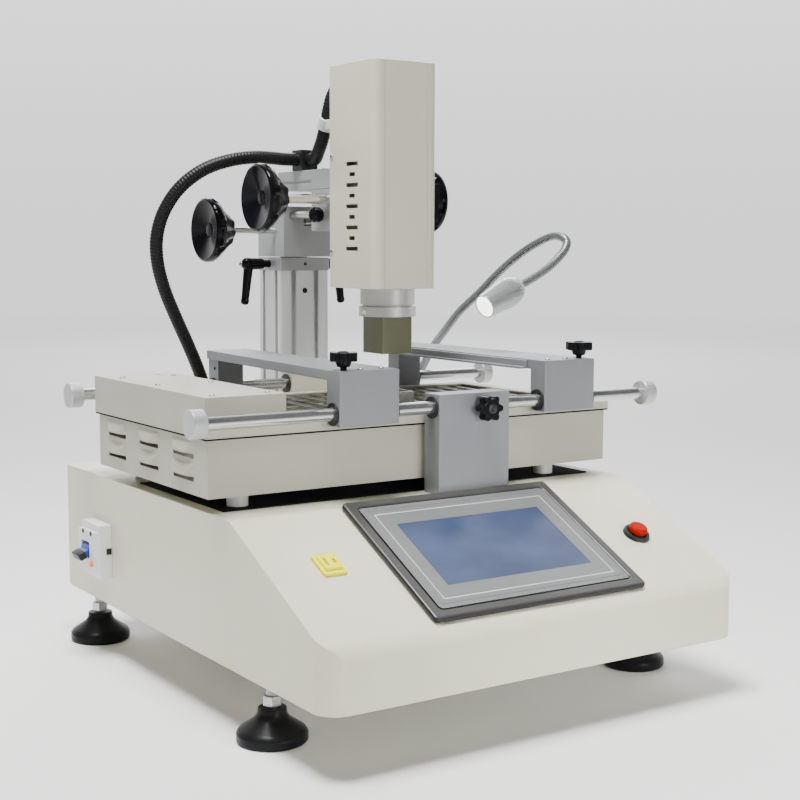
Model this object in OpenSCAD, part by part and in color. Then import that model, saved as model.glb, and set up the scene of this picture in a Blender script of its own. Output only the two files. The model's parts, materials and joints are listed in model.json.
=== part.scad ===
// Two-zone hot air rework station, upright bench machine.
// Millimetres, +Z up, front of the machine towards -Y.

/* [Base] */
// width of the cabinet
base_w = 439; // [380:1:480]
// cabinet centre, measured across from the origin
base_cx = -10; // [-30:1:30]
// front wall position
base_front = -264; // [-280:1:-240]
// cabinet depth, front wall to rear wall
base_d = 526.4; // [480:0.2:560]
// underside of the cabinet above the bench
floor_gap = 53; // [45:1:70]
// top of the cabinet above the bench
base_top = 180; // [160:1:200]
// height of the front edge under the sloped panel
lip_z = 103.6; // [90:0.2:130]
// run of the sloped panel, front to back
slope_run = 155; // [120:1:170]
// radius of the upright front corners
corner_r = 22; // [10:1:30]
// radius of the edge under the sloped panel
lip_r = 18; // [8:1:24]
// cabinet sheet
wall = 2; // [1.5:0.1:3]

/* [Feet] */
// spacing of the feet across
foot_dx = 401; // [340:1:420]
// front feet behind the front wall
foot_front = 118.5; // [60:0.5:140]
// rear feet in front of the rear wall
foot_rear = 36.4; // [30:0.2:80]
// foot pad diameter
pad_d = 60; // [40:1:70]

/* [Panel] */
// touch panel width
hmi_w = 226; // [180:1:260]
// touch panel length down the slope
hmi_d = 162; // [120:1:162]
// height of the touch panel rim above the slope
hmi_t = 6; // [3:0.5:10]
// screen width
screen_w = 155; // [120:1:180]
// screen length down the slope
screen_d = 86; // [60:1:110]
// push button cap diameter
button_d = 18; // [14:1:22]

/* [Heater box] */
// width of the heater tray
box_w = 443; // [400:1:460]
// depth of the heater tray
box_d = 239; // [220:1:250]
// gap between cabinet top and tray
box_gap = 12.6; // [6:0.2:20]
// tray height
tray_h = 57.4; // [50:0.2:60]
// width of the raised housing at the left of the tray
housing_w = 77.5; // [60:0.5:90]
// height of the raised housing above the tray rim
housing_h = 28; // [15:1:28]
// sheet of tray and cover
sheet = 1.5; // [1:0.1:2.5]

/* [Table] */
// rod diameter
rod_d = 12; // [10:1:14]
// rod length over the end caps
rod_len = 514; // [480:2:540]
// rod height above the bench
rod_z = 260; // [258:0.5:264]
// gap between the cover and the clamp blocks
rod_gap = 2; // [1.5:0.5:6]
// end cap diameter
cap_d = 25; // [20:1:26]
// end cap length
cap_l = 13; // [10:1:18]
// thickness of the rod brackets
bracket_t = 24; // [24:1:26]
// width of the rod brackets
bracket_w = 80; // [70:1:90]

/* [Clamps] */
// width of a clamp block
clamp_w = 62; // [54:1:66]
// thickness of a clamp block
clamp_t = 22; // [22:1:24]
// clamp block centre from the work centre
clamp_cx = 114.5; // [105:0.5:125]
// top of the clamp arms
arm_z = 298.4; // [296:0.2:299]
// thickness of the clamp arms
arm_t = 9; // [6:0.5:10]

/* [Column] */
// column width
col_w = 60; // [56:1:62]
// column depth
col_d = 50; // [48:1:52]
// gap between the rear rod bracket and the column
col_gap = 17; // [12:1:30]
// top of the column
col_top = 380; // [370:1:390]
// sliding post diameter
post_d = 30; // [26:1:32]

/* [Carriage and arm] */
// width of the carriage
car_w = 62; // [62:1:66]
// width of the arm
arm_w = 60; // [56:1:62]
// gear tooth size, pitch diameter per tooth
gear_m = 1.25; // [1:0.05:1.25]
// height of the carriage shaft
rear_shaft_z = 423; // [421:0.5:424]
// height of the head lift shaft
lift_shaft_z = 454; // [450:0.5:455]
// handwheel diameter
wheel_d = 68; // [50:1:72]
// handwheel length with its hub
wheel_l = 31; // [26:1:34]

/* [Head] */
// head width
head_w = 75; // [68:1:80]
// head depth
head_d = 83; // [76:1:86]
// head height
head_h = 220; // [200:1:230]
// bottom of the head
head_z = 365; // [363:0.5:370]
// radius of the upright front corners of the head
head_r = 9; // [6:1:16]
// nozzle side
nozzle_w = 36; // [26:1:38]
// nozzle length below the ring
nozzle_h = 36.6; // [30:0.2:37]

/* [Fits] */
// running clearance on radius
run_gap = 0.05; // [0.02:0.01:0.1]
// free clearance between moving pieces
free_gap = 0.5; // [0.4:0.1:1]

/* [Hidden] */
$fn = 48;
off_white = [0.88, 0.87, 0.83];
pale_grey = [0.78, 0.80, 0.82];
alu = [0.74, 0.75, 0.76];
steel = [0.82, 0.83, 0.84];
black = [0.07, 0.07, 0.08];
dark = [0.22, 0.23, 0.24];
// cabinet
base_rear = base_front + base_d;
ridge_y = base_front + slope_run;
slope_m = (base_top - lip_z) / slope_run;
slope_a = atan(slope_m);
slope_k = sqrt(1 + slope_m * slope_m);
slope_len = slope_run * slope_k;
lip_cy = base_front + lip_r;
lip_cz = base_top + (lip_cy - ridge_y) * slope_m - lip_r * slope_k;
hmi_s = hmi_d / 2 - 1;
button_x = base_cx + 160.5;
button_s = 89;
socket_x = base_cx - 163.5;
socket_s = 73;
breaker_y = base_rear - 94.9;
breaker_z = 108.5;
breaker_w = 46;
breaker_h = 53;
breaker_t = 17;
inlet_x = base_cx - 150;
inlet_z = 100;
// work centre: middle of the heating opening
work_cx = base_cx + housing_w / 2 - 1.25;
work_cy = 46.5;
tray_z = base_top + box_gap;
rim_z = tray_z + tray_h;
louvre_len = 47;
louvre_out = 4.5;
cover_gap = 1.5;
cover_out = cover_gap + sheet;
cover_z0 = rim_z - 5.6;
cover_z1 = rim_z + 2;
housing_z = cover_z1 + housing_h;
housing_x = base_cx - box_w / 2 - cover_out + housing_w;
// rods
rod_front = work_cy - box_d / 2 - cover_out - rod_gap - bracket_t / 2;
rod_rear = work_cy + box_d / 2 + cover_out + rod_gap + bracket_t / 2;
rod_run = rod_d / 2 + run_gap;
bush_d = 18;
bush_l = 18;
flange_d = 20.5;
flange_t = 1.5;
bracket_top = rod_z + 12.5;
clamp_z0 = rod_z - 10.5;
leg_w = 29;
leg_off = 2.5;
knob_x = 20.5;
jaw_w = 10;
jaw_z = arm_z - arm_t;
finger_w = 19;
finger_h = 20;
finger_l = 14;
jaw_front = work_cy - box_d / 2 - cover_out + 1;
jaw_rear = work_cy + 107.5;
// column, carriage and arm
col_cy = rod_rear + bracket_t / 2 + col_gap + col_d / 2;
collar_h = 14;
collar_d = 52;
car_z = col_top + collar_h + 1;
car_rear = col_cy + collar_d / 2 - 1;
car_front = col_cy - 34;
car_step = car_z + 26;
car_top = car_z + 54;
post_top = car_z + 17;
post_z = 300;
pitch_r = gear_m * 6;
tooth_p = gear_m * PI;
rear_shaft_y = col_cy - 13.5;
rear_shaft_d = 7;
feed_pitch_z = rear_shaft_z + pitch_r;
guide_d = 8;
guide_dx = 20;
guide_z = feed_pitch_z + 8.5;
head_front = work_cy - 33.5;
head_rear = head_front + head_d;
block_y0 = head_rear + 1;
block_y1 = block_y0 + 49;
guide_y0 = block_y1 - 12;
guide_y1 = car_front + 33;
lock_y = block_y0 + 28;
block_z0 = 422;
lock_z = block_z0 + 16.5;
bar_z0 = 465;
bar_z1 = 485.5;
bar_y0 = block_y0 + 9;
bar_y1 = block_y0 + 121;
// head and its lift
rail_neck = 16;
rail_head = 24;
rail_y1 = head_rear + 4.5;
rail_y2 = rail_y1 + 4;
lift_pitch_y = rail_y2 - gear_m;
lift_shaft_y = lift_pitch_y + pitch_r;
lift_shaft_d = 10;
ring_z1 = head_z - 16;
ring_z0 = ring_z1 - 12;
lever_z = col_top + collar_h / 2;
// handwheels, outer faces
wheel_left = work_cx - 114;
wheel_right = work_cx + 97;
wheel_rear = work_cx - 116;
// conduit from the cabinet to the clip on the arm, and on to the head
conduit_d = 14;
clip_x = work_cx - 21.5;
clip_y = col_cy - 63;
clip_w = 20;
clip_z = bar_z1 + 11.5;
gland_x = -74;
gland_y = col_cy - 11;
head_gland_x = 13;
head_gland_z = 572;
end_gap = 0.2;
clip_in = clip_x - clip_w / 2;
clip_out = clip_y - clip_w / 2;
conduit_a = [[gland_x, gland_y, base_top + 16 + end_gap], [gland_x, gland_y, base_top + 23],
    [gland_x, gland_y, base_top + 30], [-77, 226, 226], [-86, 225, 248], [-97, 223, 276], [-110, 221, 304],
    [-124, 219, 332], [-138, 216, 362], [-147, 212, 390], [-149, 208, 416], [-143, 202, 442],
    [-128, 195, 466], [-105, 188, 484], [-78, 182, 494], [-50, 177, 498], [clip_in - 16, clip_y, clip_z],
    [clip_in - 8, clip_y, clip_z], [clip_in - end_gap, clip_y, clip_z]];
conduit_b = [[clip_x, clip_out - end_gap, clip_z], [clip_x, clip_out - 6, clip_z],
    [clip_x, clip_out - 12, clip_z], [3, 139, 506], [1, 128, 517], [0, 120, 531], [1, 116, 545],
    [4, 115, 557], [9, 113.5, 567], [head_gland_x, head_rear + 13, head_gland_z],
    [head_gland_x, head_rear + 9, head_gland_z], [head_gland_x, head_rear + 5 + end_gap, head_gland_z]];
// gooseneck of the work lamp, from its socket to the lamp
neck_d = 7.5;
socket_h = 20;
neck_x = 160;
neck_y = 211;
lamp_from = [173.5, 16, 367];
lamp_to = [119.5, 8, 345.5];
lamp_way = (lamp_to - lamp_from) / norm(lamp_to - lamp_from);
neck_route = [[neck_x, neck_y, base_top + socket_h + end_gap], [neck_x, neck_y, base_top + socket_h + 7],
    [neck_x, neck_y, base_top + socket_h + 14], [168, 210.5, 235], [180, 208, 264], [193, 203, 290.5],
    [206.5, 196, 311.5], [216, 182, 332.5], [226, 159, 354], [232.5, 132, 377], [239, 108, 395],
    [244, 84, 408.5], [249, 59, 418], [251, 43, 417], [251.5, 36, 411], [242, 31, 400.5],
    [219, 26, 385.5], lamp_from - 20 * lamp_way, lamp_from - 10 * lamp_way, lamp_from - end_gap * lamp_way];

// shared shapes

module round_rect(w, d, r) {
    square([w - 2 * r, d], center = true);
    square([w, d - 2 * r], center = true);
    for (sx = [-1, 1], sy = [-1, 1])
        translate([sx * (w / 2 - r), sy * (d / 2 - r)])
            circle(r);
}

// plate with its two front corners rounded, the back edge square
module front_round(w, y0, y1, r) {
    translate([-w / 2, y0 + r])
        square([w, y1 - y0 - r]);
    translate([-w / 2 + r, y0])
        square([w - 2 * r, r + 1]);
    for (sx = [-1, 1])
        translate([sx * (w / 2 - r), y0 + r])
            circle(r);
}

module block(x0, x1, y0, y1, z0, z1) {
    translate([x0, y0, z0])
        cube([x1 - x0, y1 - y0, z1 - z0]);
}

module rod_x(x0, x1, y, z, d) {
    translate([x0, y, z])
        rotate([0, 90, 0])
            cylinder(d = d, h = x1 - x0);
}

module rod_y(x, y0, y1, z, d) {
    translate([x, y0, z])
        rotate([-90, 0, 0])
            cylinder(d = d, h = y1 - y0);
}

// places children on the sloped panel: x across, s down from the ridge
module on_slope(x, s) {
    translate([x, ridge_y - s / slope_k, base_top - s * slope_m / slope_k])
        rotate([slope_a, 0, 0])
            children();
}

// side outline of the cabinet drawn in Y and Z, moved in by t
module base_side(t, z0) {
    ridge_in = ridge_y + t * (slope_k - 1) / slope_m;
    tan_y = lip_cy - (lip_r - t) * slope_m / slope_k;
    tan_z = lip_cz + (lip_r - t) / slope_k;
    polygon([[base_rear - t, z0], [base_rear - t, base_top - t], [ridge_in, base_top - t], [tan_y, tan_z],
        [lip_cy, lip_cz], [base_front + t, lip_cz], [base_front + t, z0]]);
    translate([lip_cy, lip_cz])
        circle(lip_r - t);
}

module base_solid(t, z0) {
    intersection() {
        translate([base_cx - base_w / 2 + t, 0, 0])
            rotate([90, 0, 90])
                linear_extrude(base_w - 2 * t)
                    base_side(t, z0);
        translate([base_cx, 0, 0])
            linear_extrude(base_top + 10)
                front_round(base_w - 2 * t, base_front + t, base_rear - t, corner_r - t);
    }
}

// rack drawn with teeth towards -Y, pitch line on the X axis
module rack_shape(n, back) {
    tip = gear_m * 0.3;
    root = gear_m * 0.75;
    translate([0, gear_m])
        square([n * tooth_p, back]);
    for (i = [0 : n - 1])
        translate([(i + 0.5) * tooth_p, 0])
            polygon([[-root, gear_m], [root, gear_m], [tip, -gear_m * 0.7], [-tip, -gear_m * 0.7]]);
}

// twelve-tooth pinion, one tooth pointing along +X
module pinion_shape() {
    tip = gear_m * 0.28;
    root = gear_m * 0.75;
    circle(pitch_r - gear_m);
    for (i = [0 : 11])
        rotate(i * 30)
            polygon([[pitch_r - gear_m - 1, -root], [pitch_r + gear_m * 0.7, -tip],
                [pitch_r + gear_m * 0.7, tip], [pitch_r - gear_m - 1, root]]);
}

// lobed knob drawn along Z with a threaded stem below
module star_knob(d, h, neck, stem_d, stem_l) {
    linear_extrude(h) {
        circle(d * 0.36);
        for (i = [0 : 5])
            rotate(i * 60)
                translate([d * 0.37, 0])
                    circle(d * 0.13);
    }
    translate([0, 0, -neck])
        cylinder(d1 = d * 0.42, d2 = d * 0.56, h = neck);
    translate([0, 0, -stem_l])
        cylinder(d = stem_d, h = stem_l);
}

// dished handwheel drawn along Z: outer face at 0, hub end at wheel_l
module handwheel(bore) {
    difference() {
        rotate_extrude($fn = 144)
            polygon([[bore / 2, 7], [7, 7], [9.5, 5.8], [wheel_d / 2 - 5.5, 0.8], [wheel_d / 2 - 3, 0],
                [wheel_d / 2 - 1, 1], [wheel_d / 2, 3.5], [wheel_d / 2, 7], [wheel_d / 2 - 3, 12],
                [wheel_d / 2 - 10, 16.5], [15, 19.5], [12.5, 22.5], [11, 25.5], [11, wheel_l],
                [bore / 2, wheel_l]]);
        for (i = [0 : 6])
            rotate(i * 360 / 7)
                translate([wheel_d / 2 + 5.5, 0, 4])
                    cylinder(d = 17, h = 20, $fn = 96);
    }
}

// flanged plain bush along X, flange face at x, body towards dir
module bush(x, y, z, dir) {
    translate([x, y, z])
        rotate([0, 90 * dir, 0])
            difference() {
                union() {
                    cylinder(d = bush_d, h = bush_l);
                    translate([0, 0, -flange_t])
                        cylinder(d = flange_d, h = flange_t);
                }
                translate([0, 0, -flange_t - 1])
                    cylinder(r = rod_run, h = bush_l + flange_t + 2);
            }
}

module bush_pair(x0, x1, y) {
    bush(x0, y, rod_z, 1);
    bush(x1, y, rod_z, -1);
}

// round tube swept along a route: rings of points joined by quads
function unit(v) = v / norm(v);
function tangent(p, i) = unit(p[min(i + 1, len(p) - 1)] - p[max(i - 1, 0)]);
function side(t) = unit(cross(t, abs(t[2]) > 0.9 ? [0, 1, 0] : [0, 0, 1]));
function spline(a, b, c, d, u) = 0.5 * (2 * b + (c - a) * u + (2 * a - 5 * b + 4 * c - d) * u * u
    + (3 * b - a - 3 * c + d) * u * u * u);
function smooth(p, n) = concat([for (i = [0 : len(p) - 2]) for (k = [0 : n - 1])
    spline(p[max(i - 1, 0)], p[i], p[i + 1], p[min(i + 2, len(p) - 1)], k / n)], [p[len(p) - 1]]);
function turn(v, t) = unit(v - t * (v * t));
function carry(p, i) = i == 0 ? side(tangent(p, 0)) : turn(carry(p, i - 1), tangent(p, i));
function ring(p, i, r, n) = let (t = tangent(p, i), a = carry(p, i), b = cross(t, a))
    [for (k = [0 : n - 1]) p[i] + r * (cos(k * 360 / n) * a + sin(k * 360 / n) * b)];

module tube(route, d, steps, n) {
    p = smooth(route, steps);
    m = len(p);
    pts = [for (i = [0 : m - 1]) for (q = ring(p, i, d / 2, n)) q];
    quads = [for (i = [0 : m - 2]) for (k = [0 : n - 1]) for (f = [0, 1])
        f == 0 ? [i * n + k, (i + 1) * n + k, (i + 1) * n + (k + 1) % n]
            : [i * n + k, (i + 1) * n + (k + 1) % n, i * n + (k + 1) % n]];
    first = [for (k = [0 : n - 1]) k];
    last = [for (k = [0 : n - 1]) (m - 1) * n + n - 1 - k];
    polyhedron(pts, concat(quads, [first, last]));
}

// cabinet

module base_shell() {
    color(off_white)
        difference() {
            base_solid(0, floor_gap);
            base_solid(wall, floor_gap - 5);
            // cut-out behind the touch panel
            on_slope(base_cx, hmi_s)
                cube([hmi_w - 12, hmi_d - 16, 30], center = true);
            on_slope(button_x, button_s)
                cylinder(d = button_d - 2, h = 30, center = true);
            on_slope(socket_x, socket_s)
                cube([14, 16, 30], center = true);
            // breaker window in the left wall
            block(base_cx - base_w / 2 - 1, base_cx - base_w / 2 + 10, breaker_y - breaker_w / 2 + 3,
                breaker_y + breaker_w / 2 - 3, breaker_z - breaker_h / 2 + 3, breaker_z + breaker_h / 2 - 3);
            // inlet window and cooling slots in the rear wall
            block(inlet_x - 24, inlet_x + 24, base_rear - 10, base_rear + 1, inlet_z - 14, inlet_z + 14);
            for (i = [0 : 7])
                block(base_cx + 60, base_cx + 140, base_rear - 10, base_rear + 1, 80 + i * 9, 84 + i * 9);
            translate([gland_x, gland_y, base_top - 10])
                cylinder(d = 12, h = 20);
        }
}

module base_plate() {
    color(off_white)
        translate([base_cx, 0, floor_gap])
            linear_extrude(wall)
                difference() {
                    front_round(base_w - 2 * wall, base_front + wall, base_rear - wall, corner_r - wall);
                    for (i = [-4 : 4])
                        translate([i * 14, 40])
                            square([5, 90], center = true);
                }
}

module foot_stems() {
    color(steel)
        for (x = [-foot_dx / 2, foot_dx / 2], y = [base_front + foot_front, base_rear - foot_rear])
            translate([base_cx + x, y, 0]) {
                translate([0, 0, 29])
                    cylinder(d = 10, h = floor_gap - 29);
                translate([0, 0, 31])
                    cylinder(d = 17, h = 8, $fn = 6);
                translate([0, 0, floor_gap - 7])
                    cylinder(d = 17, h = 5, $fn = 6);
            }
}

module foot_pads() {
    color(black)
        for (x = [-foot_dx / 2, foot_dx / 2], y = [base_front + foot_front, base_rear - foot_rear])
            translate([base_cx + x, y, 0])
                rotate_extrude()
                    polygon([[0, 0], [pad_d / 2 - 2, 0], [pad_d / 2, 2], [pad_d / 2, 8], [pad_d / 2 - 2, 11],
                        [pad_d / 2 - 8, 15], [15, 20], [12.5, 24], [12, 29], [0, 29]]);
}

// sloped panel

module hmi_bezel() {
    color(dark)
        on_slope(base_cx, hmi_s)
            difference() {
                union() {
                    linear_extrude(hmi_t)
                        round_rect(hmi_w, hmi_d, 5);
                    translate([0, 0, -28])
                        linear_extrude(28)
                            square([hmi_w - 16, hmi_d - 20], center = true);
                }
                translate([0, 0, hmi_t - 2.5])
                    linear_extrude(5)
                        round_rect(hmi_w - 22, hmi_d - 22, 4);
                // hollow case
                translate([0, 0, -26])
                    linear_extrude(27)
                        square([hmi_w - 20, hmi_d - 24], center = true);
            }
}

module hmi_face() {
    color(pale_grey)
        on_slope(base_cx, hmi_s)
            translate([0, 0, hmi_t - 2.5])
                difference() {
                    linear_extrude(2)
                        round_rect(hmi_w - 22, hmi_d - 22, 4);
                    translate([0, 0, 0.8])
                        linear_extrude(3)
                            round_rect(screen_w, screen_d, 1);
                    // fine border line round the face
                    translate([0, 0, 1.6])
                        linear_extrude(1)
                            difference() {
                                round_rect(hmi_w - 32, hmi_d - 32, 3);
                                round_rect(hmi_w - 34, hmi_d - 34, 2);
                            }
                }
}

module hmi_screen() {
    color([0.35, 0.42, 0.5])
        on_slope(base_cx, hmi_s)
            translate([0, 0, hmi_t - 1.7])
                linear_extrude(0.8)
                    round_rect(screen_w, screen_d, 1);
}

module sensor_socket() {
    color([0.93, 0.75, 0.1])
        on_slope(socket_x, socket_s)
            difference() {
                union() {
                    linear_extrude(3)
                        round_rect(22, 26, 2);
                    translate([0, 0, 3])
                        linear_extrude(2.5)
                            round_rect(17, 18, 2);
                    translate([0, 0, -10])
                        linear_extrude(10)
                            square([13, 15], center = true);
                }
                for (x = [-4, 4])
                    translate([x, 0, 0])
                        block(-1.2, 1.2, -4 + x / 4, 4 - x / 4, 0.5, 9);
            }
}

module button_ring() {
    color(dark)
        on_slope(button_x, button_s)
            difference() {
                union() {
                    cylinder(d1 = button_d + 8, d2 = button_d + 6, h = 4);
                    translate([0, 0, -14])
                        cylinder(d = button_d - 3, h = 14);
                }
                translate([0, 0, 0.5])
                    cylinder(d = button_d + 2 * free_gap, h = 10);
                translate([0, 0, -10])
                    cylinder(d = 8 + 2 * run_gap, h = 20);
            }
}

module start_button() {
    color([0.8, 0.08, 0.08])
        on_slope(button_x, button_s) {
            translate([0, 0, 4])
                cylinder(d = button_d, h = 4.5);
            translate([0, 0, 8.5])
                cylinder(d1 = button_d, d2 = button_d - 3, h = 1.5);
            translate([0, 0, -6])
                cylinder(d = 8, h = 11);
        }
}

module breaker_body() {
    x0 = base_cx - base_w / 2;
    color(off_white)
        difference() {
            union() {
                block(x0 - breaker_t + 4, x0, breaker_y - breaker_w / 2, breaker_y + breaker_w / 2,
                    breaker_z - breaker_h / 2, breaker_z + breaker_h / 2);
                block(x0 - breaker_t, x0, breaker_y - breaker_w / 2 + 4, breaker_y + breaker_w / 2 - 2,
                    breaker_z - breaker_h / 2 + 7, breaker_z + breaker_h / 2 - 7);
                block(x0, x0 + 30, breaker_y - breaker_w / 2 + 4, breaker_y + breaker_w / 2 - 4,
                    breaker_z - breaker_h / 2 + 4, breaker_z + breaker_h / 2 - 4);
            }
            // slot for the toggle and bore for the test button
            block(x0 - breaker_t - 1, x0 - 2, breaker_y - 6, breaker_y + 14, breaker_z - 8, breaker_z + 8);
            rod_x(x0 - breaker_t - 1, x0 - 4, breaker_y - 13, breaker_z - 12, 6 + 2 * run_gap);
            rod_y(x0 - breaker_t + 5, breaker_y - 10, breaker_y + 18, breaker_z, 4 + 2 * run_gap);
        }
}

module breaker_toggle() {
    x0 = base_cx - base_w / 2;
    color([0.1, 0.3, 0.7]) {
        rod_y(x0 - breaker_t + 5, breaker_y - 6 + free_gap, breaker_y + 14 - free_gap, breaker_z, 12);
        rod_y(x0 - breaker_t + 5, breaker_y - 9, breaker_y + 17, breaker_z, 4);
        translate([x0 - breaker_t + 5, breaker_y + 4, breaker_z])
            rotate([0, -25, 0])
                block(-15.5, 0, -9.5 + free_gap, 9.5 - free_gap, -3, 3);
    }
}

module breaker_test() {
    x0 = base_cx - base_w / 2;
    color([0.95, 0.5, 0.1])
        rod_x(x0 - breaker_t - 2, x0 - 8, breaker_y - 13, breaker_z - 12, 6);
}

module mains_inlet() {
    color(black)
        difference() {
            union() {
                block(inlet_x - 30, inlet_x + 30, base_rear, base_rear + 1.6, inlet_z - 18, inlet_z + 18);
                block(inlet_x - 23, inlet_x + 23, base_rear - 24, base_rear, inlet_z - 13, inlet_z + 13);
            }
            block(inlet_x - 14, inlet_x + 14, base_rear - 17, base_rear + 2, inlet_z - 9, inlet_z + 9);
            for (sx = [-1, 1])
                rod_y(inlet_x + sx * 26, base_rear - 25, base_rear + 2, inlet_z, 3.4);
        }
    // three blades inside the socket
    color(steel)
        for (i = [-1, 0, 1])
            block(inlet_x + i * 8 - 1, inlet_x + i * 8 + 1, base_rear - 17, base_rear - 2, inlet_z - 2,
                inlet_z + 3);
}

// heater box

module heater_standoffs() {
    color(steel)
        for (x = [-183, 160], y = [-98.6, 98.6])
            translate([base_cx + x, work_cy + y, base_top])
                cylinder(d = 19, h = box_gap);
}

// pressed hood over a slit in the left tray wall, moved in by t
module louvre(y, z, t) {
    bow = (louvre_len * louvre_len / 4 + louvre_out * louvre_out) / (2 * louvre_out);
    translate([base_cx - box_w / 2, y, z])
        intersection() {
            translate([bow - louvre_out + t, 0, 0])
                cylinder(r = bow, h = 20);
            translate([0, louvre_len / 2, 0])
                rotate([90, 0, 0])
                    linear_extrude(louvre_len)
                        polygon([[1 + 2 * t, 3 - t], [-louvre_out + t, 3 - t], [-louvre_out + t, 5],
                            [-louvre_out * 0.6 + t, 10], [t * 0.4, 15 - 2 * t], [1 + 2 * t, 15 - 2 * t]]);
        }
}

module heater_tray() {
    louvre_y = [for (i = [-1, 0, 1]) work_cy + 2 + i * 73.5];
    louvre_z = [tray_z + 13, tray_z + 33];
    color(off_white)
        difference() {
            union() {
                block(base_cx - box_w / 2, base_cx + box_w / 2, work_cy - box_d / 2, work_cy + box_d / 2,
                    tray_z, rim_z);
                for (y = louvre_y, z = louvre_z)
                    louvre(y, z, 0);
            }
            block(base_cx - box_w / 2 + sheet, base_cx + box_w / 2 - sheet, work_cy - box_d / 2 + sheet,
                work_cy + box_d / 2 - sheet, tray_z + sheet, rim_z + 1);
            for (y = louvre_y, z = louvre_z) {
                louvre(y, z, 1);
                block(base_cx - box_w / 2 - 1, base_cx - box_w / 2 + 3, y - louvre_len / 2 + 3,
                    y + louvre_len / 2 - 3, z - 1, z + 3.5);
            }
            translate([work_cx, work_cy, tray_z - 1])
                cylinder(d = 50, h = 5);
        }
}

module heater_cover() {
    x0 = base_cx - box_w / 2 - cover_out;
    x1 = base_cx + box_w / 2 + cover_out;
    y0 = work_cy - box_d / 2 - cover_out;
    y1 = work_cy + box_d / 2 + cover_out;
    lip = 14;
    color(off_white)
        difference() {
            union() {
                block(x0, x1, y0, y1, cover_z0, cover_z1);
                block(x0, housing_x, y0, y1, cover_z0, housing_z);
            }
            block(x0 + sheet, x1 - sheet, y0 + sheet, y1 - sheet, cover_z0 - 1, rim_z);
            block(x0 + sheet, housing_x - sheet, y0 + sheet, y1 - sheet, cover_z0 - 1, housing_z - sheet);
            // heating opening
            block(housing_x, x1 - lip, y0 + lip, y1 - lip, cover_z0, cover_z1 + 1);
            for (i = [0, 1])
                translate([x0 + 20 + i * 38, y1 - 24, housing_z - 0.6])
                    cylinder(d = 7, h = 2);
        }
}

module ir_tubes() {
    x0 = housing_x + 8;
    x1 = base_cx + box_w / 2 - 12;
    tube_d = 11;
    tube_z = tray_z + 34;
    tube_y = [for (i = [-4, -3, -2, 2, 3, 4]) work_cy + i * 24];
    color([0.86, 0.85, 0.8])
        for (y = tube_y)
            rod_x(x0, x1, y, tube_z, tube_d);
    // end carriers standing on the tray floor
    color(steel)
        for (x = [x0 + 14, x1 - 14])
            difference() {
                block(x - 1, x + 1, work_cy - box_d / 2 + 10, work_cy + box_d / 2 - 10, tray_z + sheet,
                    tube_z + tube_d);
                for (y = tube_y)
                    rod_x(x - 2, x + 2, y, tube_z, tube_d + 2 * run_gap);
            }
}

// welded grid: wires along Y, cross wires under them and four flat bars round the lower nozzle
module heater_mesh() {
    x0 = housing_x - sheet + 0.5;
    x1 = base_cx + box_w / 2 - sheet;
    y0 = work_cy - box_d / 2 + sheet;
    y1 = work_cy + box_d / 2 - sheet;
    mesh_z = rim_z - 3;
    wire = 2;
    n = 17;
    pitch = (x1 - x0) / (n + 1);
    window = 38;
    color(steel) {
        for (i = [1 : n]) {
            x = x0 + i * pitch;
            if (abs(x - work_cx) > window + 1)
                block(x - wire / 2, x + wire / 2, y0, y1, mesh_z, mesh_z + wire);
            else {
                block(x - wire / 2, x + wire / 2, y0, work_cy - window - end_gap, mesh_z, mesh_z + wire);
                block(x - wire / 2, x + wire / 2, work_cy + window + end_gap, y1, mesh_z, mesh_z + wire);
            }
        }
        for (i = [-4, -2, 0, 2, 4]) {
            y = work_cy + i * 25;
            if (i != 0)
                block(x0 + 10, x1, y - wire / 2, y + wire / 2, mesh_z - end_gap - wire, mesh_z - end_gap);
            else {
                block(x0 + 10, work_cx - window + 1, y - wire / 2, y + wire / 2, mesh_z - end_gap - wire,
                    mesh_z - end_gap);
                block(work_cx + window - 1, x1, y - wire / 2, y + wire / 2, mesh_z - end_gap - wire,
                    mesh_z - end_gap);
            }
        }
        for (sx = [-1, 1]) {
            block(work_cx + sx * (window - 1.5) - 1.5, work_cx + sx * (window - 1.5) + 1.5, work_cy - window,
                work_cy + window, mesh_z, mesh_z + wire);
            block(work_cx - window + 3 + end_gap, work_cx + window - 3 - end_gap,
                work_cy + sx * (window - 1.5) - 1.5, work_cy + sx * (window - 1.5) + 1.5, mesh_z,
                mesh_z + wire);
        }
    }
}

module lower_duct() {
    duct_z = rim_z - 8;
    color(steel)
        translate([work_cx, work_cy, 0])
            difference() {
                union() {
                    translate([0, 0, tray_z + sheet])
                        cylinder(d = 58, h = duct_z - tray_z - sheet);
                    translate([0, 0, duct_z])
                        linear_extrude(4)
                            circle(d = 64);
                    translate([0, 0, duct_z])
                        linear_extrude(20)
                            round_rect(40, 40, 2);
                }
                translate([0, 0, tray_z])
                    cylinder(d = 54, h = duct_z - tray_z - 1);
                translate([0, 0, duct_z - 2])
                    linear_extrude(30)
                        round_rect(37, 37, 1);
            }
}

// table rods and their brackets

module rod_bracket(y) {
    difference() {
        block(work_cx - bracket_w / 2, work_cx + bracket_w / 2, y - bracket_t / 2, y + bracket_t / 2,
            base_top, bracket_top);
        rod_x(work_cx - bracket_w, work_cx + bracket_w, y, rod_z, bush_d);
        // lightening window low in the web, clear of the bore
        block(work_cx - 14, work_cx + 14, y + bracket_t / 2 - 10, y + bracket_t / 2 + 1, base_top + 12,
            base_top + 52);
    }
}

module front_bracket() {
    color(pale_grey)
        difference() {
            rod_bracket(rod_front);
            rod_y(work_cx + 9, rod_front - bracket_t, rod_front, rod_z - 1.5, 6 + 2 * run_gap);
        }
}

module rear_bracket() {
    color(off_white)
        rod_bracket(rod_rear);
}

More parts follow.
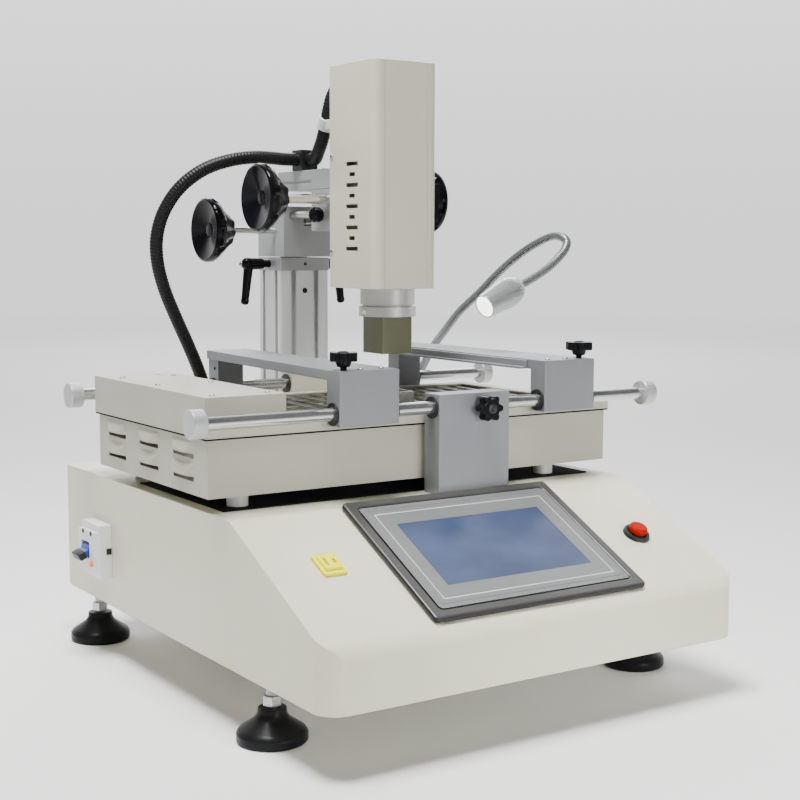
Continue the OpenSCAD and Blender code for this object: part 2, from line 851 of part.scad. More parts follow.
module bracket_bushes() {
    color(black)
        for (y = [rod_front, rod_rear])
            bush_pair(work_cx - bracket_w / 2, work_cx + bracket_w / 2, y);
}

module bracket_knob() {
    color(black)
        translate([work_cx + 9, rod_front - bracket_t / 2 - 4.5, rod_z - 1.5])
            rotate([90, 0, 0])
                star_knob(25, 11, 3.5, 6, 4.5 + bracket_t / 2 - rod_d / 2 - 1.5);
}

module table_rods() {
    color(steel)
        for (y = [rod_front, rod_rear])
            rod_x(-rod_len / 2 + cap_l - 8, rod_len / 2 - cap_l + 8, y, rod_z, rod_d);
}

module rod_cap(x, y, dir) {
    translate([x, y, rod_z])
        rotate([0, 90 * dir, 0])
            difference() {
                rotate_extrude()
                    polygon([[0, 0], [cap_d / 2 - 0.8, 0], [cap_d / 2, 0.8], [cap_d / 2, cap_l - 0.8],
                        [cap_d / 2 - 0.8, cap_l], [0, cap_l]]);
                translate([0, 0, cap_l - 8])
                    cylinder(d = rod_d, h = 9);
            }
}

module rod_caps() {
    color(alu)
        for (y = [rod_front, rod_rear]) {
            rod_cap(-rod_len / 2, y, 1);
            rod_cap(rod_len / 2, y, -1);
        }
}

// clamp frame drawn at the left: x is measured from the block centre, outer side -x
module clamp_frame() {
    y0 = rod_front - clamp_t / 2;
    y1 = rod_rear + clamp_t / 2;
    difference() {
        union() {
            block(-clamp_w / 2, clamp_w / 2, y0, y0 + clamp_t, clamp_z0, arm_z);
            block(leg_off - leg_w / 2, leg_off + leg_w / 2, y1 - clamp_t, y1, clamp_z0, arm_z - 1);
            translate([0, 0, arm_z - arm_t])
                linear_extrude(arm_t)
                    polygon([[-clamp_w / 2, y0], [clamp_w / 2, y0], [clamp_w / 2, y1],
                        [-clamp_w / 2 + 17, y1], [-clamp_w / 2, y0 + clamp_t]]);
        }
        rod_x(-clamp_w, clamp_w, rod_front, rod_z, bush_d);
        rod_x(-clamp_w, clamp_w, rod_rear, rod_z, bush_d);
        // threaded hole of the lock knob
        translate([-knob_x, rod_front, rod_z])
            cylinder(d = 6 + 2 * run_gap, h = 60);
        // cross screw in the rear leg
        rod_x(leg_off - leg_w / 2 - 1, leg_off - leg_w / 2 + 3, rod_rear - 3, rod_z + 20, 4);
    }
}

// strip along the arm with a ledge that carries the board's edge
module clamp_jaw() {
    x0 = clamp_w / 2;
    translate([0, jaw_rear, 0])
        rotate([90, 0, 0])
            linear_extrude(jaw_rear - jaw_front)
                polygon([[x0, jaw_z], [x0 + jaw_w, jaw_z], [x0 + jaw_w, jaw_z + 2], [x0 + 4, jaw_z + 2],
                    [x0 + 4, arm_z - 1], [x0, arm_z - 1]]);
}

// finger under the front end of the left strip
module jaw_finger() {
    x0 = clamp_w / 2;
    translate([0, jaw_front + finger_l, 0])
        rotate([90, 0, 0])
            linear_extrude(finger_l - 3)
                polygon([[x0, jaw_z - finger_h], [x0 + finger_w, jaw_z - finger_h],
                    [x0 + finger_w, arm_z - 2], [x0 + jaw_w, arm_z - 2], [x0 + jaw_w, jaw_z], [x0, jaw_z]]);
}

module clamp_bushes() {
    bush(clamp_w / 2, rod_front, rod_z, -1);
    difference() {
        bush(-clamp_w / 2, rod_front, rod_z, 1);
        // hole that lets the lock knob reach the rod
        translate([-knob_x, rod_front, rod_z])
            cylinder(d = 6 + 2 * free_gap, h = bush_d);
    }
    bush(leg_off - leg_w / 2, rod_rear, rod_z, 1);
}

module clamp_knob() {
    translate([-knob_x, rod_front, arm_z + 8])
        star_knob(27, 8, 5, 6, 8 + arm_z - rod_z - rod_d / 2 - 1);
}

module at_left() {
    translate([work_cx - clamp_cx, 0, 0])
        children();
}

module at_right() {
    translate([work_cx + clamp_cx, 0, 0])
        mirror([1, 0, 0])
            children();
}

module left_frame() {
    color(pale_grey)
        at_left()
            clamp_frame();
}

module left_jaw() {
    color(pale_grey)
        at_left()
            clamp_jaw();
    color(dark)
        at_left()
            jaw_finger();
}

module left_bushes() {
    color(black)
        at_left()
            clamp_bushes();
}

module left_knob() {
    color(black)
        at_left()
            clamp_knob();
}

module right_frame() {
    color(pale_grey)
        at_right()
            clamp_frame();
}

module right_jaw() {
    color(pale_grey)
        at_right()
            clamp_jaw();
}

module right_bushes() {
    color(black)
        at_right()
            clamp_bushes();
}

module right_knob() {
    color(black)
        at_right()
            clamp_knob();
}

// column, collar and post

module t_slot() {
    translate([-3, -3])
        square([6, 4]);
    translate([-5.5, -6.5])
        square([11, 4.5]);
}

module column() {
    color(alu)
        translate([work_cx, col_cy, 0])
            difference() {
                translate([0, 0, base_top])
                    linear_extrude(col_top - base_top)
                        difference() {
                            round_rect(col_w, col_d, 2);
                            circle(d = post_d + 2 * free_gap);
                            for (s = [0, 180], x = [-14, 14])
                                rotate(s)
                                    translate([x, col_d / 2])
                                        t_slot();
                            for (s = [90, 270], x = [-14, 14])
                                rotate(s)
                                    translate([x, col_w / 2])
                                        t_slot();
                        }
                rod_y(0, -col_d / 2 - 1, -col_d / 2 + 3, col_top - 22, 6);
            }
}

module column_collar() {
    color(alu)
        translate([work_cx, col_cy, col_top])
            difference() {
                linear_extrude(collar_h)
                    difference() {
                        round_rect(car_w, collar_d, 2);
                        circle(d = post_d + 2 * run_gap);
                    }
                rod_x(-car_w, car_w, 0, collar_h / 2, 8 + 2 * run_gap);
                rod_y(0, -collar_d, 0, collar_h / 2, 3.5);
            }
}

// ratchet lever drawn at the left side of the collar, handle hanging down
module lock_lever() {
    x0 = -car_w / 2;
    rod_x(x0 - 12, -post_d / 2 - 1, 0, 0, 8);
    translate([x0 - 33, 0, 0])
        rotate([0, 90, 0])
            rotate_extrude()
                polygon([[0, 0], [4, 0.6], [6, 2.4], [6.8, 5], [6.8, 9], [5.6, 25], [0, 25]]);
    translate([x0 - 25, 0, 0])
        rotate([0, 187, 0])
            rotate_extrude()
                polygon([[0, 0], [5.4, 0], [4.2, 38], [4.6, 41], [4, 43.5], [2.4, 44.6], [0, 45]]);
}

module left_lever() {
    color(black)
        translate([work_cx, col_cy, lever_z])
            lock_lever();
}

module right_lever() {
    color(black)
        translate([work_cx, col_cy, lever_z])
            mirror([1, 0, 0])
                lock_lever();
}

module lift_post() {
    color(steel)
        translate([work_cx, col_cy, post_z])
            cylinder(d = post_d, h = post_top - post_z);
}

module carriage() {
    color(pale_grey)
        difference() {
            translate([work_cx - car_w / 2, 0, 0])
                rotate([90, 0, 90])
                    linear_extrude(car_w)
                        polygon([[car_front, car_z], [car_rear, car_z], [car_rear, car_step],
                            [car_rear - 22, car_step], [car_front + 14, car_top], [car_front, car_top]]);
            translate([work_cx, col_cy, car_z - 1])
                cylinder(d = post_d, h = post_top - car_z + 1);
            // guide bores, rack slot and pinion pocket
            for (sx = [-1, 1])
                rod_y(work_cx + sx * guide_dx, car_front - 1, car_rear, guide_z, guide_d + 2 * run_gap);
            block(work_cx - 6, work_cx + 6, car_front - 1, car_rear + 1, feed_pitch_z - 2, feed_pitch_z + 11);
            rod_x(work_cx - 7, work_cx + 7, rear_shaft_y, rear_shaft_z, 2 * pitch_r + 2 * gear_m + 2);
            rod_x(work_cx - car_w, work_cx + 18, rear_shaft_y, rear_shaft_z, rear_shaft_d + 2 * run_gap);
        }
}

module rear_shaft() {
    color(steel) {
        rod_x(wheel_rear + 8, work_cx + 17, rear_shaft_y, rear_shaft_z, rear_shaft_d);
        translate([work_cx - 5, rear_shaft_y, rear_shaft_z])
            rotate([0, 90, 0])
                rotate(180)
                    linear_extrude(10)
                        pinion_shape();
    }
}

module rear_wheel() {
    color(black)
        translate([wheel_rear, rear_shaft_y, rear_shaft_z])
            rotate([0, 90, 0])
                handwheel(rear_shaft_d);
}

// arm and head lift

module arm_bar() {
    color(pale_grey)
        difference() {
            block(work_cx - arm_w / 2, work_cx + arm_w / 2, bar_y0, bar_y1, bar_z0, bar_z1);
            for (sx = [-1, 1])
                block(work_cx + sx * arm_w / 2 - 2, work_cx + sx * arm_w / 2 + 2, block_y1, bar_y1 + 1,
                    bar_z0 + 7, bar_z0 + 10);
        }
}

module arm_block() {
    color(pale_grey)
        difference() {
            block(work_cx - arm_w / 2, work_cx + arm_w / 2, block_y0, block_y1, block_z0, bar_z0);
            // slot of the head rail
            block(work_cx - rail_head / 2 - run_gap, work_cx + rail_head / 2 + run_gap, rail_y1 - run_gap,
                rail_y2 + run_gap, block_z0 - 1, bar_z0 + 1);
            block(work_cx - rail_neck / 2 - free_gap, work_cx + rail_neck / 2 + free_gap, block_y0 - 1,
                rail_y2, block_z0 - 1, bar_z0 + 1);
            rod_x(work_cx - 7, work_cx + 7, lift_shaft_y, lift_shaft_z, 2 * pitch_r + 2 * gear_m + 2);
            rod_x(work_cx - arm_w, work_cx + arm_w, lift_shaft_y, lift_shaft_z, lift_shaft_d + 2 * run_gap);
            rod_x(work_cx - arm_w, work_cx - 12, lock_y, lock_z, 5 + 2 * run_gap);
            for (sx = [-1, 1])
                rod_y(work_cx + sx * guide_dx, guide_y0, block_y1 + 1, guide_z, guide_d);
        }
}

module arm_guides() {
    color(steel) {
        for (sx = [-1, 1])
            rod_y(work_cx + sx * guide_dx, guide_y0, guide_y1, guide_z, guide_d);
        // feed rack between the guides, teeth down, a tooth gap over the pinion's top tooth
        translate([work_cx + 5, rear_shaft_y, feed_pitch_z])
            rotate([90, 0, -90])
                translate([-9 * tooth_p, 0])
                    linear_extrude(10)
                        rack_shape(18, 6);
        block(work_cx - 5, work_cx + 5, block_y1, rear_shaft_y - 9 * tooth_p, feed_pitch_z + gear_m,
            feed_pitch_z + gear_m + 6);
    }
}

module conduit_clip() {
    color(black)
        difference() {
            block(clip_x - clip_w / 2, clip_x + clip_w / 2, clip_y - clip_w / 2, clip_y + clip_w / 2,
                bar_z1, clip_z + conduit_d / 2 + 3);
            translate([clip_x + clip_w / 2 - 3, clip_y + clip_w / 2 - 3, bar_z1 - 1])
                cylinder(d = 2.5, h = 40);
        }
}

module arm_lock_knob() {
    color(black)
        translate([work_cx - arm_w / 2 - 1, lock_y, lock_z])
            rotate([0, -90, 0]) {
                cylinder(d1 = 13, d2 = 16, h = 3);
                translate([0, 0, 3])
                    cylinder(d = 16, h = 6);
                translate([0, 0, 9])
                    cylinder(d1 = 16, d2 = 12, h = 2);
                translate([0, 0, -15])
                    cylinder(d = 5, h = 15);
            }
}

module lift_shaft() {
    color(steel) {
        rod_x(wheel_left + 8, wheel_right - 8, lift_shaft_y, lift_shaft_z, lift_shaft_d);
        translate([work_cx - 5, lift_shaft_y, lift_shaft_z])
            rotate([0, 90, 0])
                rotate(-90)
                    linear_extrude(10)
                        pinion_shape();
    }
}

module lift_wheels() {
    color(black) {
        translate([wheel_left, lift_shaft_y, lift_shaft_z])
            rotate([0, 90, 0])
                handwheel(lift_shaft_d);
        translate([wheel_right, lift_shaft_y, lift_shaft_z])
            rotate([0, -90, 0])
                handwheel(lift_shaft_d);
    }
}

// head

module head_outline(t) {
    front_round(head_w - 2 * t, head_front + t, head_rear, head_r - t);
}

// half of the plan, from a distance beside the middle outwards, on one side
module beside(sx, x, far) {
    translate([sx > 0 ? x : -far, head_front - 5])
        square([far - x, head_rear - head_front + 10]);
}

// folded cover: two wrapped sides with bottom flanges, a front sheet with its flange, a rear bottom strip
// and a lid let in between the walls
module head_shell() {
    vent_z = head_z + 37;
    seam_x = head_w / 2 - head_r - 3.5;
    seam = 0.3;
    outlet = 19;
    color(off_white)
        translate([work_cx, 0, 0]) {
            for (sx = [-1, 1])
                difference() {
                    union() {
                        translate([0, 0, head_z])
                            linear_extrude(head_h)
                                intersection() {
                                    difference() {
                                        head_outline(0);
                                        head_outline(sheet);
                                        translate([0, head_rear])
                                            square([head_w - 2 * sheet, 4], center = true);
                                    }
                                    beside(sx, seam_x + seam / 2, head_w);
                                }
                        translate([0, 0, head_z])
                            linear_extrude(sheet)
                                intersection() {
                                    head_outline(sheet + seam);
                                    beside(sx, outlet, head_w);
                                }
                        block(sx > 0 ? seam_x + 1 : 0.5 - head_w / 2, sx > 0 ? head_w / 2 - 0.5 : -seam_x - 1,
                            head_front + head_r, head_rear, head_z, head_z + sheet);
                    }
                    for (i = [0 : 8])
                        block(sx * head_w / 2 - 4, sx * head_w / 2 + 4,
                            head_front + 41 - (i % 2 == 0 ? 11 : 5.5),
                            head_front + 41 + (i % 2 == 0 ? 11 : 5.5), vent_z + i * 10.4,
                            vent_z + i * 10.4 + 4);
                    for (z = [head_z + 36, head_z + 131])
                        rod_x(sx * head_w / 2 - 1, sx * head_w / 2 + 1, head_rear - 4, z, 4);
                }
            block(seam / 2 - seam_x, seam_x - seam / 2, head_front, head_front + sheet, head_z,
                head_z + head_h);
            block(seam - outlet, outlet - seam, head_front + sheet / 2, work_cy - outlet, head_z,
                head_z + sheet);
            block(seam - outlet, outlet - seam, work_cy + outlet, head_rear, head_z, head_z + sheet);
            translate([0, 0, head_z + head_h - sheet])
                linear_extrude(sheet)
                    head_outline(sheet + seam);
        }
}

module head_back() {
    n = 24;
    z0 = lift_shaft_z - 15 * tooth_p;
    color(off_white)
        translate([work_cx, 0, 0]) {
            block(-head_w / 2 + sheet, head_w / 2 - sheet, head_rear - 4, head_rear, head_z + sheet,
                head_z + head_h - sheet);
            block(-rail_neck / 2, rail_neck / 2, head_rear - 1, rail_y1 + 1, z0, head_z + head_h - 30);
            // rail, with the rack cut into its rear face
            translate([-rail_head / 2, 0, 0])
                rotate([90, 0, 90])
                    linear_extrude(rail_head / 2 - 5.5)
                        square_at(rail_y1, rail_y2, z0, head_z + head_h - 30);
            translate([5.5, 0, 0])
                rotate([90, 0, 90])
                    linear_extrude(rail_head / 2 - 5.5)
                        square_at(rail_y1, rail_y2, z0, head_z + head_h - 30);
            translate([-6, 0, 0])
                rotate([90, 0, 90])
                    linear_extrude(12) {
                        square_at(rail_y1, lift_pitch_y - gear_m, z0, head_z + head_h - 30);
                        translate([lift_pitch_y, z0])
                            rotate(90)
                                rack_shape(n, 1);
                    }
            // conduit gland at the top
            translate([head_gland_x - work_cx, head_rear, head_gland_z])
                rotate([-90, 0, 0])
                    cylinder(d = 18, h = 5);
        }
}

module square_at(y0, y1, z0, z1) {
    translate([y0, z0])
        square([y1 - y0, z1 - z0]);
}

module head_heater() {
    color([0.8, 0.78, 0.72])
        translate([work_cx, work_cy, 0]) {
            translate([0, 0, head_z + sheet])
                difference() {
                    cylinder(d = 46, h = 92);
                    translate([0, 0, -1])
                        cylinder(d = 38, h = 70);
                }
            translate([0, 0, head_z + sheet + 92])
                cylinder(d = 56, h = 60);
            block(-20, 20, 0, head_rear - 4 - work_cy, head_z + sheet + 96, head_z + sheet + 146);
        }
}

module nozzle_collar() {
    color(steel)
        translate([work_cx, work_cy, 0])
            difference() {
                union() {
                    translate([0, 0, ring_z1])
                        cylinder(d = 54.6, h = head_z - ring_z1);
                    translate([0, 0, ring_z0])
                        cylinder(d = 57, h = ring_z1 - ring_z0 - 2);
                    translate([0, 0, ring_z1 - 2])
                        cylinder(d = 50, h = 3);
                    block(-31, -20, -4, 4, ring_z0 + 2, ring_z0 + 7);
                }
                translate([0, 0, ring_z0 - 1])
                    cylinder(d = 38, h = head_z - ring_z0 + 2);
                translate([0, 0, ring_z0 - 1])
                    cylinder(d = 51, h = 4);
                block(24, 32, -9, -4, ring_z0 - 1, ring_z0 + 5);
            }
}

module nozzle() {
    color([0.6, 0.58, 0.5])
        translate([work_cx, work_cy, 0])
            difference() {
                union() {
                    translate([0, 0, ring_z0 - nozzle_h])
                        linear_extrude(nozzle_h)
                            round_rect(nozzle_w, nozzle_w, 1.5);
                    translate([0, 0, ring_z0])
                        cylinder(d = 51, h = 3);
                }
                translate([0, 0, ring_z0 - nozzle_h - 1])
                    linear_extrude(nozzle_h + 5)
                        round_rect(nozzle_w - 2.4, nozzle_w - 2.4, 0.6);
            }
}

// conduit

module conduit_gland() {
    color(black)
        translate([gland_x, gland_y, base_top]) {
            cylinder(d = 24, h = 6, $fn = 6);
            translate([0, 0, 6])
                cylinder(d1 = 22, d2 = 18, h = 10);
            translate([0, 0, -6])
                cylinder(d = 12, h = 6);
        }
}

module conduit_lower() {
    color(black)
        tube(conduit_a, conduit_d, 3, 12);
}

module conduit_upper() {
    color(black)
        tube(conduit_b, conduit_d, 3, 12);
}

// work lamp

module lamp_socket() {
    color(steel)
        translate([neck_x, neck_y, base_top]) {
            cylinder(d = 26, h = 4);
            translate([0, 0, 4])
                cylinder(d1 = 15, d2 = 12, h = socket_h - 4);
        }
}

module gooseneck() {
    color(steel)
        tube(neck_route, neck_d, 3, 10);
}

module lamp_head() {
    color(alu)
        translate(lamp_from)
            rotate([0, acos(lamp_way[2]), atan2(lamp_way[1], lamp_way[0])])
                difference() {
                    rotate_extrude()
                        polygon([[0, 0], [5, 0], [9, 4], [13, 10], [15.3, 18], [15.5, 26], [14, 40],
                            [12.3, 56], [12, 58], [0, 58]]);
                    translate([0, 0, 54])
                        cylinder(d = 22, h = 5);
                }
}

base_shell();
base_plate();
hmi_bezel();
hmi_face();
hmi_screen();
sensor_socket();
button_ring();
start_button();
breaker_body();
breaker_toggle();
breaker_test();
mains_inlet();
foot_stems();
foot_pads();
heater_standoffs();
heater_tray();
heater_cover();
ir_tubes();
heater_mesh();
lower_duct();
front_bracket();
rear_bracket();
bracket_bushes();
bracket_knob();
table_rods();
rod_caps();
left_frame();
left_jaw();
left_bushes();
left_knob();
right_frame();
right_jaw();
right_bushes();
right_knob();
column();
column_collar();
left_lever();
right_lever();
lift_post();
carriage();
rear_shaft();
rear_wheel();
arm_bar();
arm_block();
arm_guides();
conduit_clip();
arm_lock_knob();
lift_shaft();
lift_wheels();
head_shell();
head_back();
head_heater();
nozzle_collar();
nozzle();
conduit_gland();
conduit_lower();
conduit_upper();
lamp_socket();
gooseneck();
lamp_head();
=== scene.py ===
import json
import math

import bpy
from mathutils import Matrix, Quaternion, Vector


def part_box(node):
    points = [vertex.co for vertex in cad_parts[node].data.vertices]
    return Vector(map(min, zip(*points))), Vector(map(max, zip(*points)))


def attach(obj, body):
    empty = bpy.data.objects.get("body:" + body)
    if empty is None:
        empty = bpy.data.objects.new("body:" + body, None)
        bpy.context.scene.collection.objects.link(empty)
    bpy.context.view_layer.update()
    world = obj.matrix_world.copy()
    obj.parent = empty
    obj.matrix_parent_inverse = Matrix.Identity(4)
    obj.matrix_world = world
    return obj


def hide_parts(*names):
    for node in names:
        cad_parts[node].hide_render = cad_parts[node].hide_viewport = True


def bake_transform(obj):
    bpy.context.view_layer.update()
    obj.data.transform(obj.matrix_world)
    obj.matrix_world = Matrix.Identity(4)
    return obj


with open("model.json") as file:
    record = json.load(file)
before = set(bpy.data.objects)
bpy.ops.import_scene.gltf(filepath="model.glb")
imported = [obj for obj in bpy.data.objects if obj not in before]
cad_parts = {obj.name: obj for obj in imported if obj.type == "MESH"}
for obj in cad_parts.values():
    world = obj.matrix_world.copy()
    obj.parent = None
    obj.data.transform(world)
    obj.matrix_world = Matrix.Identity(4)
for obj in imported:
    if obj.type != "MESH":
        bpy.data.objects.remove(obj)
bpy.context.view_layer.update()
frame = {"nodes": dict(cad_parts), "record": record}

# Studio: a pale floor that runs out into a white surround, which is dim above the horizon in front of the
# machine, a broad lamp above, weak lamps at the left and in front, and one on the floor behind. The camera
# stands left of the machine and a little above the work, as in the photograph.
bpy.ops.object.select_all(action="DESELECT")
floor_half = 9.0
backdrop_way = (0.554, 0.832, 0.0)
front_low, front_dim, back_bright, low_share = 1.2, 0.05, 2.1, 0.64
facing_from, facing_to = 0.2, 0.8
run_out_from, run_out_to = 1.6, 8.0
band_from, band_to, haze_top = 0.04, 0.14, 0.35
bpy.ops.mesh.primitive_plane_add(size=2 * floor_half, location=(0, 0, 0))
floor = bpy.context.object
floor.name = "studio_floor"
floor_paint = bpy.data.materials.new("floor_paint")
floor_paint.use_nodes = True
floor_shader = floor_paint.node_tree.nodes["Principled BSDF"]
floor_shader.inputs["Base Color"].default_value = (0.86, 0.86, 0.855, 1)
floor_shader.inputs["Roughness"].default_value = 0.75
floor.data.materials.append(floor_paint)


def ramp(tree, value, from_low, from_high, to_low, to_high):
    """Smooth step of one value between two limits; the node's output."""
    made = tree.nodes.new("ShaderNodeMapRange")
    made.interpolation_type = "SMOOTHSTEP"
    made.inputs["From Min"].default_value = from_low
    made.inputs["From Max"].default_value = from_high
    made.inputs["To Min"].default_value = to_low
    made.inputs["To Max"].default_value = to_high
    tree.links.new(value, made.inputs["Value"])
    return made.outputs["Result"]


def vector_step(tree, operation, value, output="Value"):
    """One vector operation on a socket; one that takes two vectors gets the way to the backdrop."""
    made = tree.nodes.new("ShaderNodeVectorMath")
    made.operation = operation
    made.inputs[1].default_value = backdrop_way
    tree.links.new(value, made.inputs[0])
    return made.outputs[output]


floor_tree = floor_paint.node_tree
floor_place = floor_tree.nodes.new("ShaderNodeTexCoord").outputs["Object"]
floor_way = vector_step(floor_tree, "NORMALIZE", floor_place, "Vector")
floor_facing = vector_step(floor_tree, "DOT_PRODUCT", floor_way)
floor_glow = ramp(floor_tree, floor_facing, facing_from, facing_to,
                  front_low * low_share, back_bright * low_share)
glow = floor_tree.nodes.new("ShaderNodeEmission")
floor_tree.links.new(floor_glow, glow.inputs["Strength"])
floor_reach = vector_step(floor_tree, "LENGTH", floor_place)
run_out = floor_tree.nodes.new("ShaderNodeMixShader")
floor_tree.links.new(ramp(floor_tree, floor_reach, run_out_from, run_out_to, 0, 1), run_out.inputs["Fac"])
floor_tree.links.new(floor_shader.outputs["BSDF"], run_out.inputs[1])
floor_tree.links.new(glow.outputs["Emission"], run_out.inputs[2])
floor_tree.links.new(run_out.outputs["Shader"], floor_tree.nodes["Material Output"].inputs["Surface"])

surround = bpy.data.worlds.new("studio_surround")
surround.use_nodes = True
sky_tree = surround.node_tree
sky_way = sky_tree.nodes.new("ShaderNodeTexCoord").outputs["Generated"]
sky_height = sky_tree.nodes.new("ShaderNodeSeparateXYZ")
sky_tree.links.new(sky_way, sky_height.inputs["Vector"])
sky_facing = vector_step(sky_tree, "DOT_PRODUCT", sky_way)
dimming = ramp(sky_tree, sky_facing, facing_from, facing_to, front_dim, back_bright)
front_level = ramp(sky_tree, sky_height.outputs["Z"], band_from, band_to, front_low, front_dim)
sky_tree.links.new(front_level, dimming.node.inputs["To Min"])
haze = ramp(sky_tree, sky_height.outputs["Z"], 0.0, haze_top, low_share, 1.0)
strength = sky_tree.nodes.new("ShaderNodeMath")
strength.operation = "MULTIPLY"
sky_tree.links.new(dimming, strength.inputs[0])
sky_tree.links.new(haze, strength.inputs[1])
sky_tree.links.new(strength.outputs["Value"], sky_tree.nodes["Background"].inputs["Strength"])
sky_tree.nodes["Background"].inputs["Color"].default_value = (1.0, 1.0, 1.0, 1)
bpy.context.scene.world = surround


def lamp(name, spot, aim, size, power, spread=180):
    """Square soft lamp at a spot, turned towards a point, its beam narrowed to an angle."""
    bpy.ops.object.light_add(type="AREA", location=spot)
    made = bpy.context.object
    made.name = name
    made.data.size = size
    made.data.energy = power
    made.data.spread = math.radians(spread)
    made.rotation_euler = (Vector(aim) - Vector(spot)).to_track_quat("-Z", "Y").to_euler()


lamp("lamp_above", spot=(-0.5, -0.2, 2.4), aim=(0, -0.05, 0.2), size=0.9, power=130)
lamp("lamp_left", spot=(-2.2, -0.1, 1.6), aim=(0, 0, 0.45), size=1.0, power=4)
lamp("lamp_front", spot=(0.15, -1.6, 0.32), aim=(0.05, -0.26, 0.05), size=0.5, power=0.9, spread=24)
lamp("lamp_backdrop", spot=(2.2, 3.4, 2.6), aim=(2.4, 3.8, 0), size=2.5, power=130)

camera_spot = Vector((-0.762, -1.162, 0.407))
camera_yaw, camera_pitch, camera_roll = 33.67, 6.12, 0.2
bpy.ops.object.camera_add(location=camera_spot)
camera = bpy.context.object
camera.data.lens = 64.67
camera.data.sensor_width = 36
turn_z = Quaternion((0, 0, 1), math.radians(-camera_yaw))
turn_x = Quaternion((1, 0, 0), math.radians(90 - camera_pitch))
turn_roll = Quaternion((0, 0, 1), math.radians(camera_roll))
camera.rotation_euler = (turn_z @ turn_x @ turn_roll).to_euler()
bpy.context.scene.camera = camera

# Levelling feet: turned black plastic pads on zinc plated studs with rolled threads, each locked by
# two hexagon nuts. The stud screws into the cabinet floor, the pad snaps on its ball end.
body_of = {node: body for body, nodes in frame["record"]["behaviour"]["bodies"].items() for node in nodes}


def finish(name, light, dark, rough, grain, bump, metal=0.0, clear=0.0, stretch=(1, 1, 1), shine=0.5):
    """Surface with a cloudy tone, uneven gloss and a fine grain, all laid in object space.

    The tone drifts between light and dark, grain is the size of the fine pattern in metres, clear is the
    weight of a clear coat and shine the strength of the reflection.
    """
    made = bpy.data.materials.new(name)
    made.use_nodes = True
    nodes, links = made.node_tree.nodes, made.node_tree.links
    shader = nodes["Principled BSDF"]
    shader.inputs["Metallic"].default_value = metal
    shader.inputs["Specular IOR Level"].default_value = shine
    shader.inputs["Coat Weight"].default_value = clear
    shader.inputs["Coat Roughness"].default_value = 0.08
    place = nodes.new("ShaderNodeTexCoord")
    turn = nodes.new("ShaderNodeMapping")
    turn.inputs["Scale"].default_value = stretch
    links.new(place.outputs["Object"], turn.inputs["Vector"])
    cloud = nodes.new("ShaderNodeTexNoise")
    cloud.inputs["Scale"].default_value = 11
    cloud.inputs["Detail"].default_value = 5
    links.new(turn.outputs["Vector"], cloud.inputs["Vector"])
    tone = nodes.new("ShaderNodeValToRGB")
    tone.color_ramp.elements[0].position = 0.3
    tone.color_ramp.elements[0].color = (*dark, 1)
    tone.color_ramp.elements[1].position = 0.7
    tone.color_ramp.elements[1].color = (*light, 1)
    links.new(cloud.outputs["Fac"], tone.inputs["Fac"])
    links.new(tone.outputs["Color"], shader.inputs["Base Color"])
    fine = nodes.new("ShaderNodeTexNoise")
    fine.inputs["Scale"].default_value = 1 / grain
    fine.inputs["Detail"].default_value = 3
    links.new(turn.outputs["Vector"], fine.inputs["Vector"])
    gloss = nodes.new("ShaderNodeMapRange")
    gloss.inputs["To Min"].default_value = rough * 0.8
    gloss.inputs["To Max"].default_value = min(1.0, rough * 1.25)
    links.new(fine.outputs["Fac"], gloss.inputs["Value"])
    links.new(gloss.outputs["Result"], shader.inputs["Roughness"])
    lift = nodes.new("ShaderNodeBump")
    lift.inputs["Strength"].default_value = bump
    lift.inputs["Distance"].default_value = grain * 0.3
    links.new(fine.outputs["Fac"], lift.inputs["Height"])
    links.new(lift.outputs["Normal"], shader.inputs["Normal"])
    return made


def eased(node, name, ease, coat, segments=2, angle=32):
    """Copy of a solid with its sharp edges broken, as deburring or a coat of paint leaves them."""
    bpy.ops.object.select_all(action="DESELECT")
    piece = bpy.data.objects.new(name, frame["nodes"][node].data.copy())
    bpy.context.collection.objects.link(piece)
    piece.select_set(True)
    bpy.context.view_layer.objects.active = piece
    bpy.ops.object.mode_set(mode="EDIT")
    bpy.ops.mesh.select_all(action="SELECT")
    bpy.ops.mesh.customdata_custom_splitnormals_clear()
    bpy.ops.mesh.remove_doubles(threshold=0.00001)
    bpy.ops.mesh.dissolve_limited(angle_limit=math.radians(1))
    bpy.ops.object.mode_set(mode="OBJECT")
    if ease:
        edge = piece.modifiers.new("edge", "BEVEL")
        edge.width = ease
        edge.segments = segments
        edge.angle_limit = math.radians(angle)
        edge.use_clamp_overlap = False
        bpy.ops.object.modifier_apply(modifier="edge")
    bpy.ops.object.shade_smooth_by_angle(angle=math.radians(40))
    level = piece.modifiers.new("level", "WEIGHTED_NORMAL")
    level.keep_sharp = True
    bpy.ops.object.modifier_apply(modifier="level")
    piece.data.materials.clear()
    piece.data.materials.append(coat)
    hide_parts(node)
    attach(piece, body_of[node])
    return piece


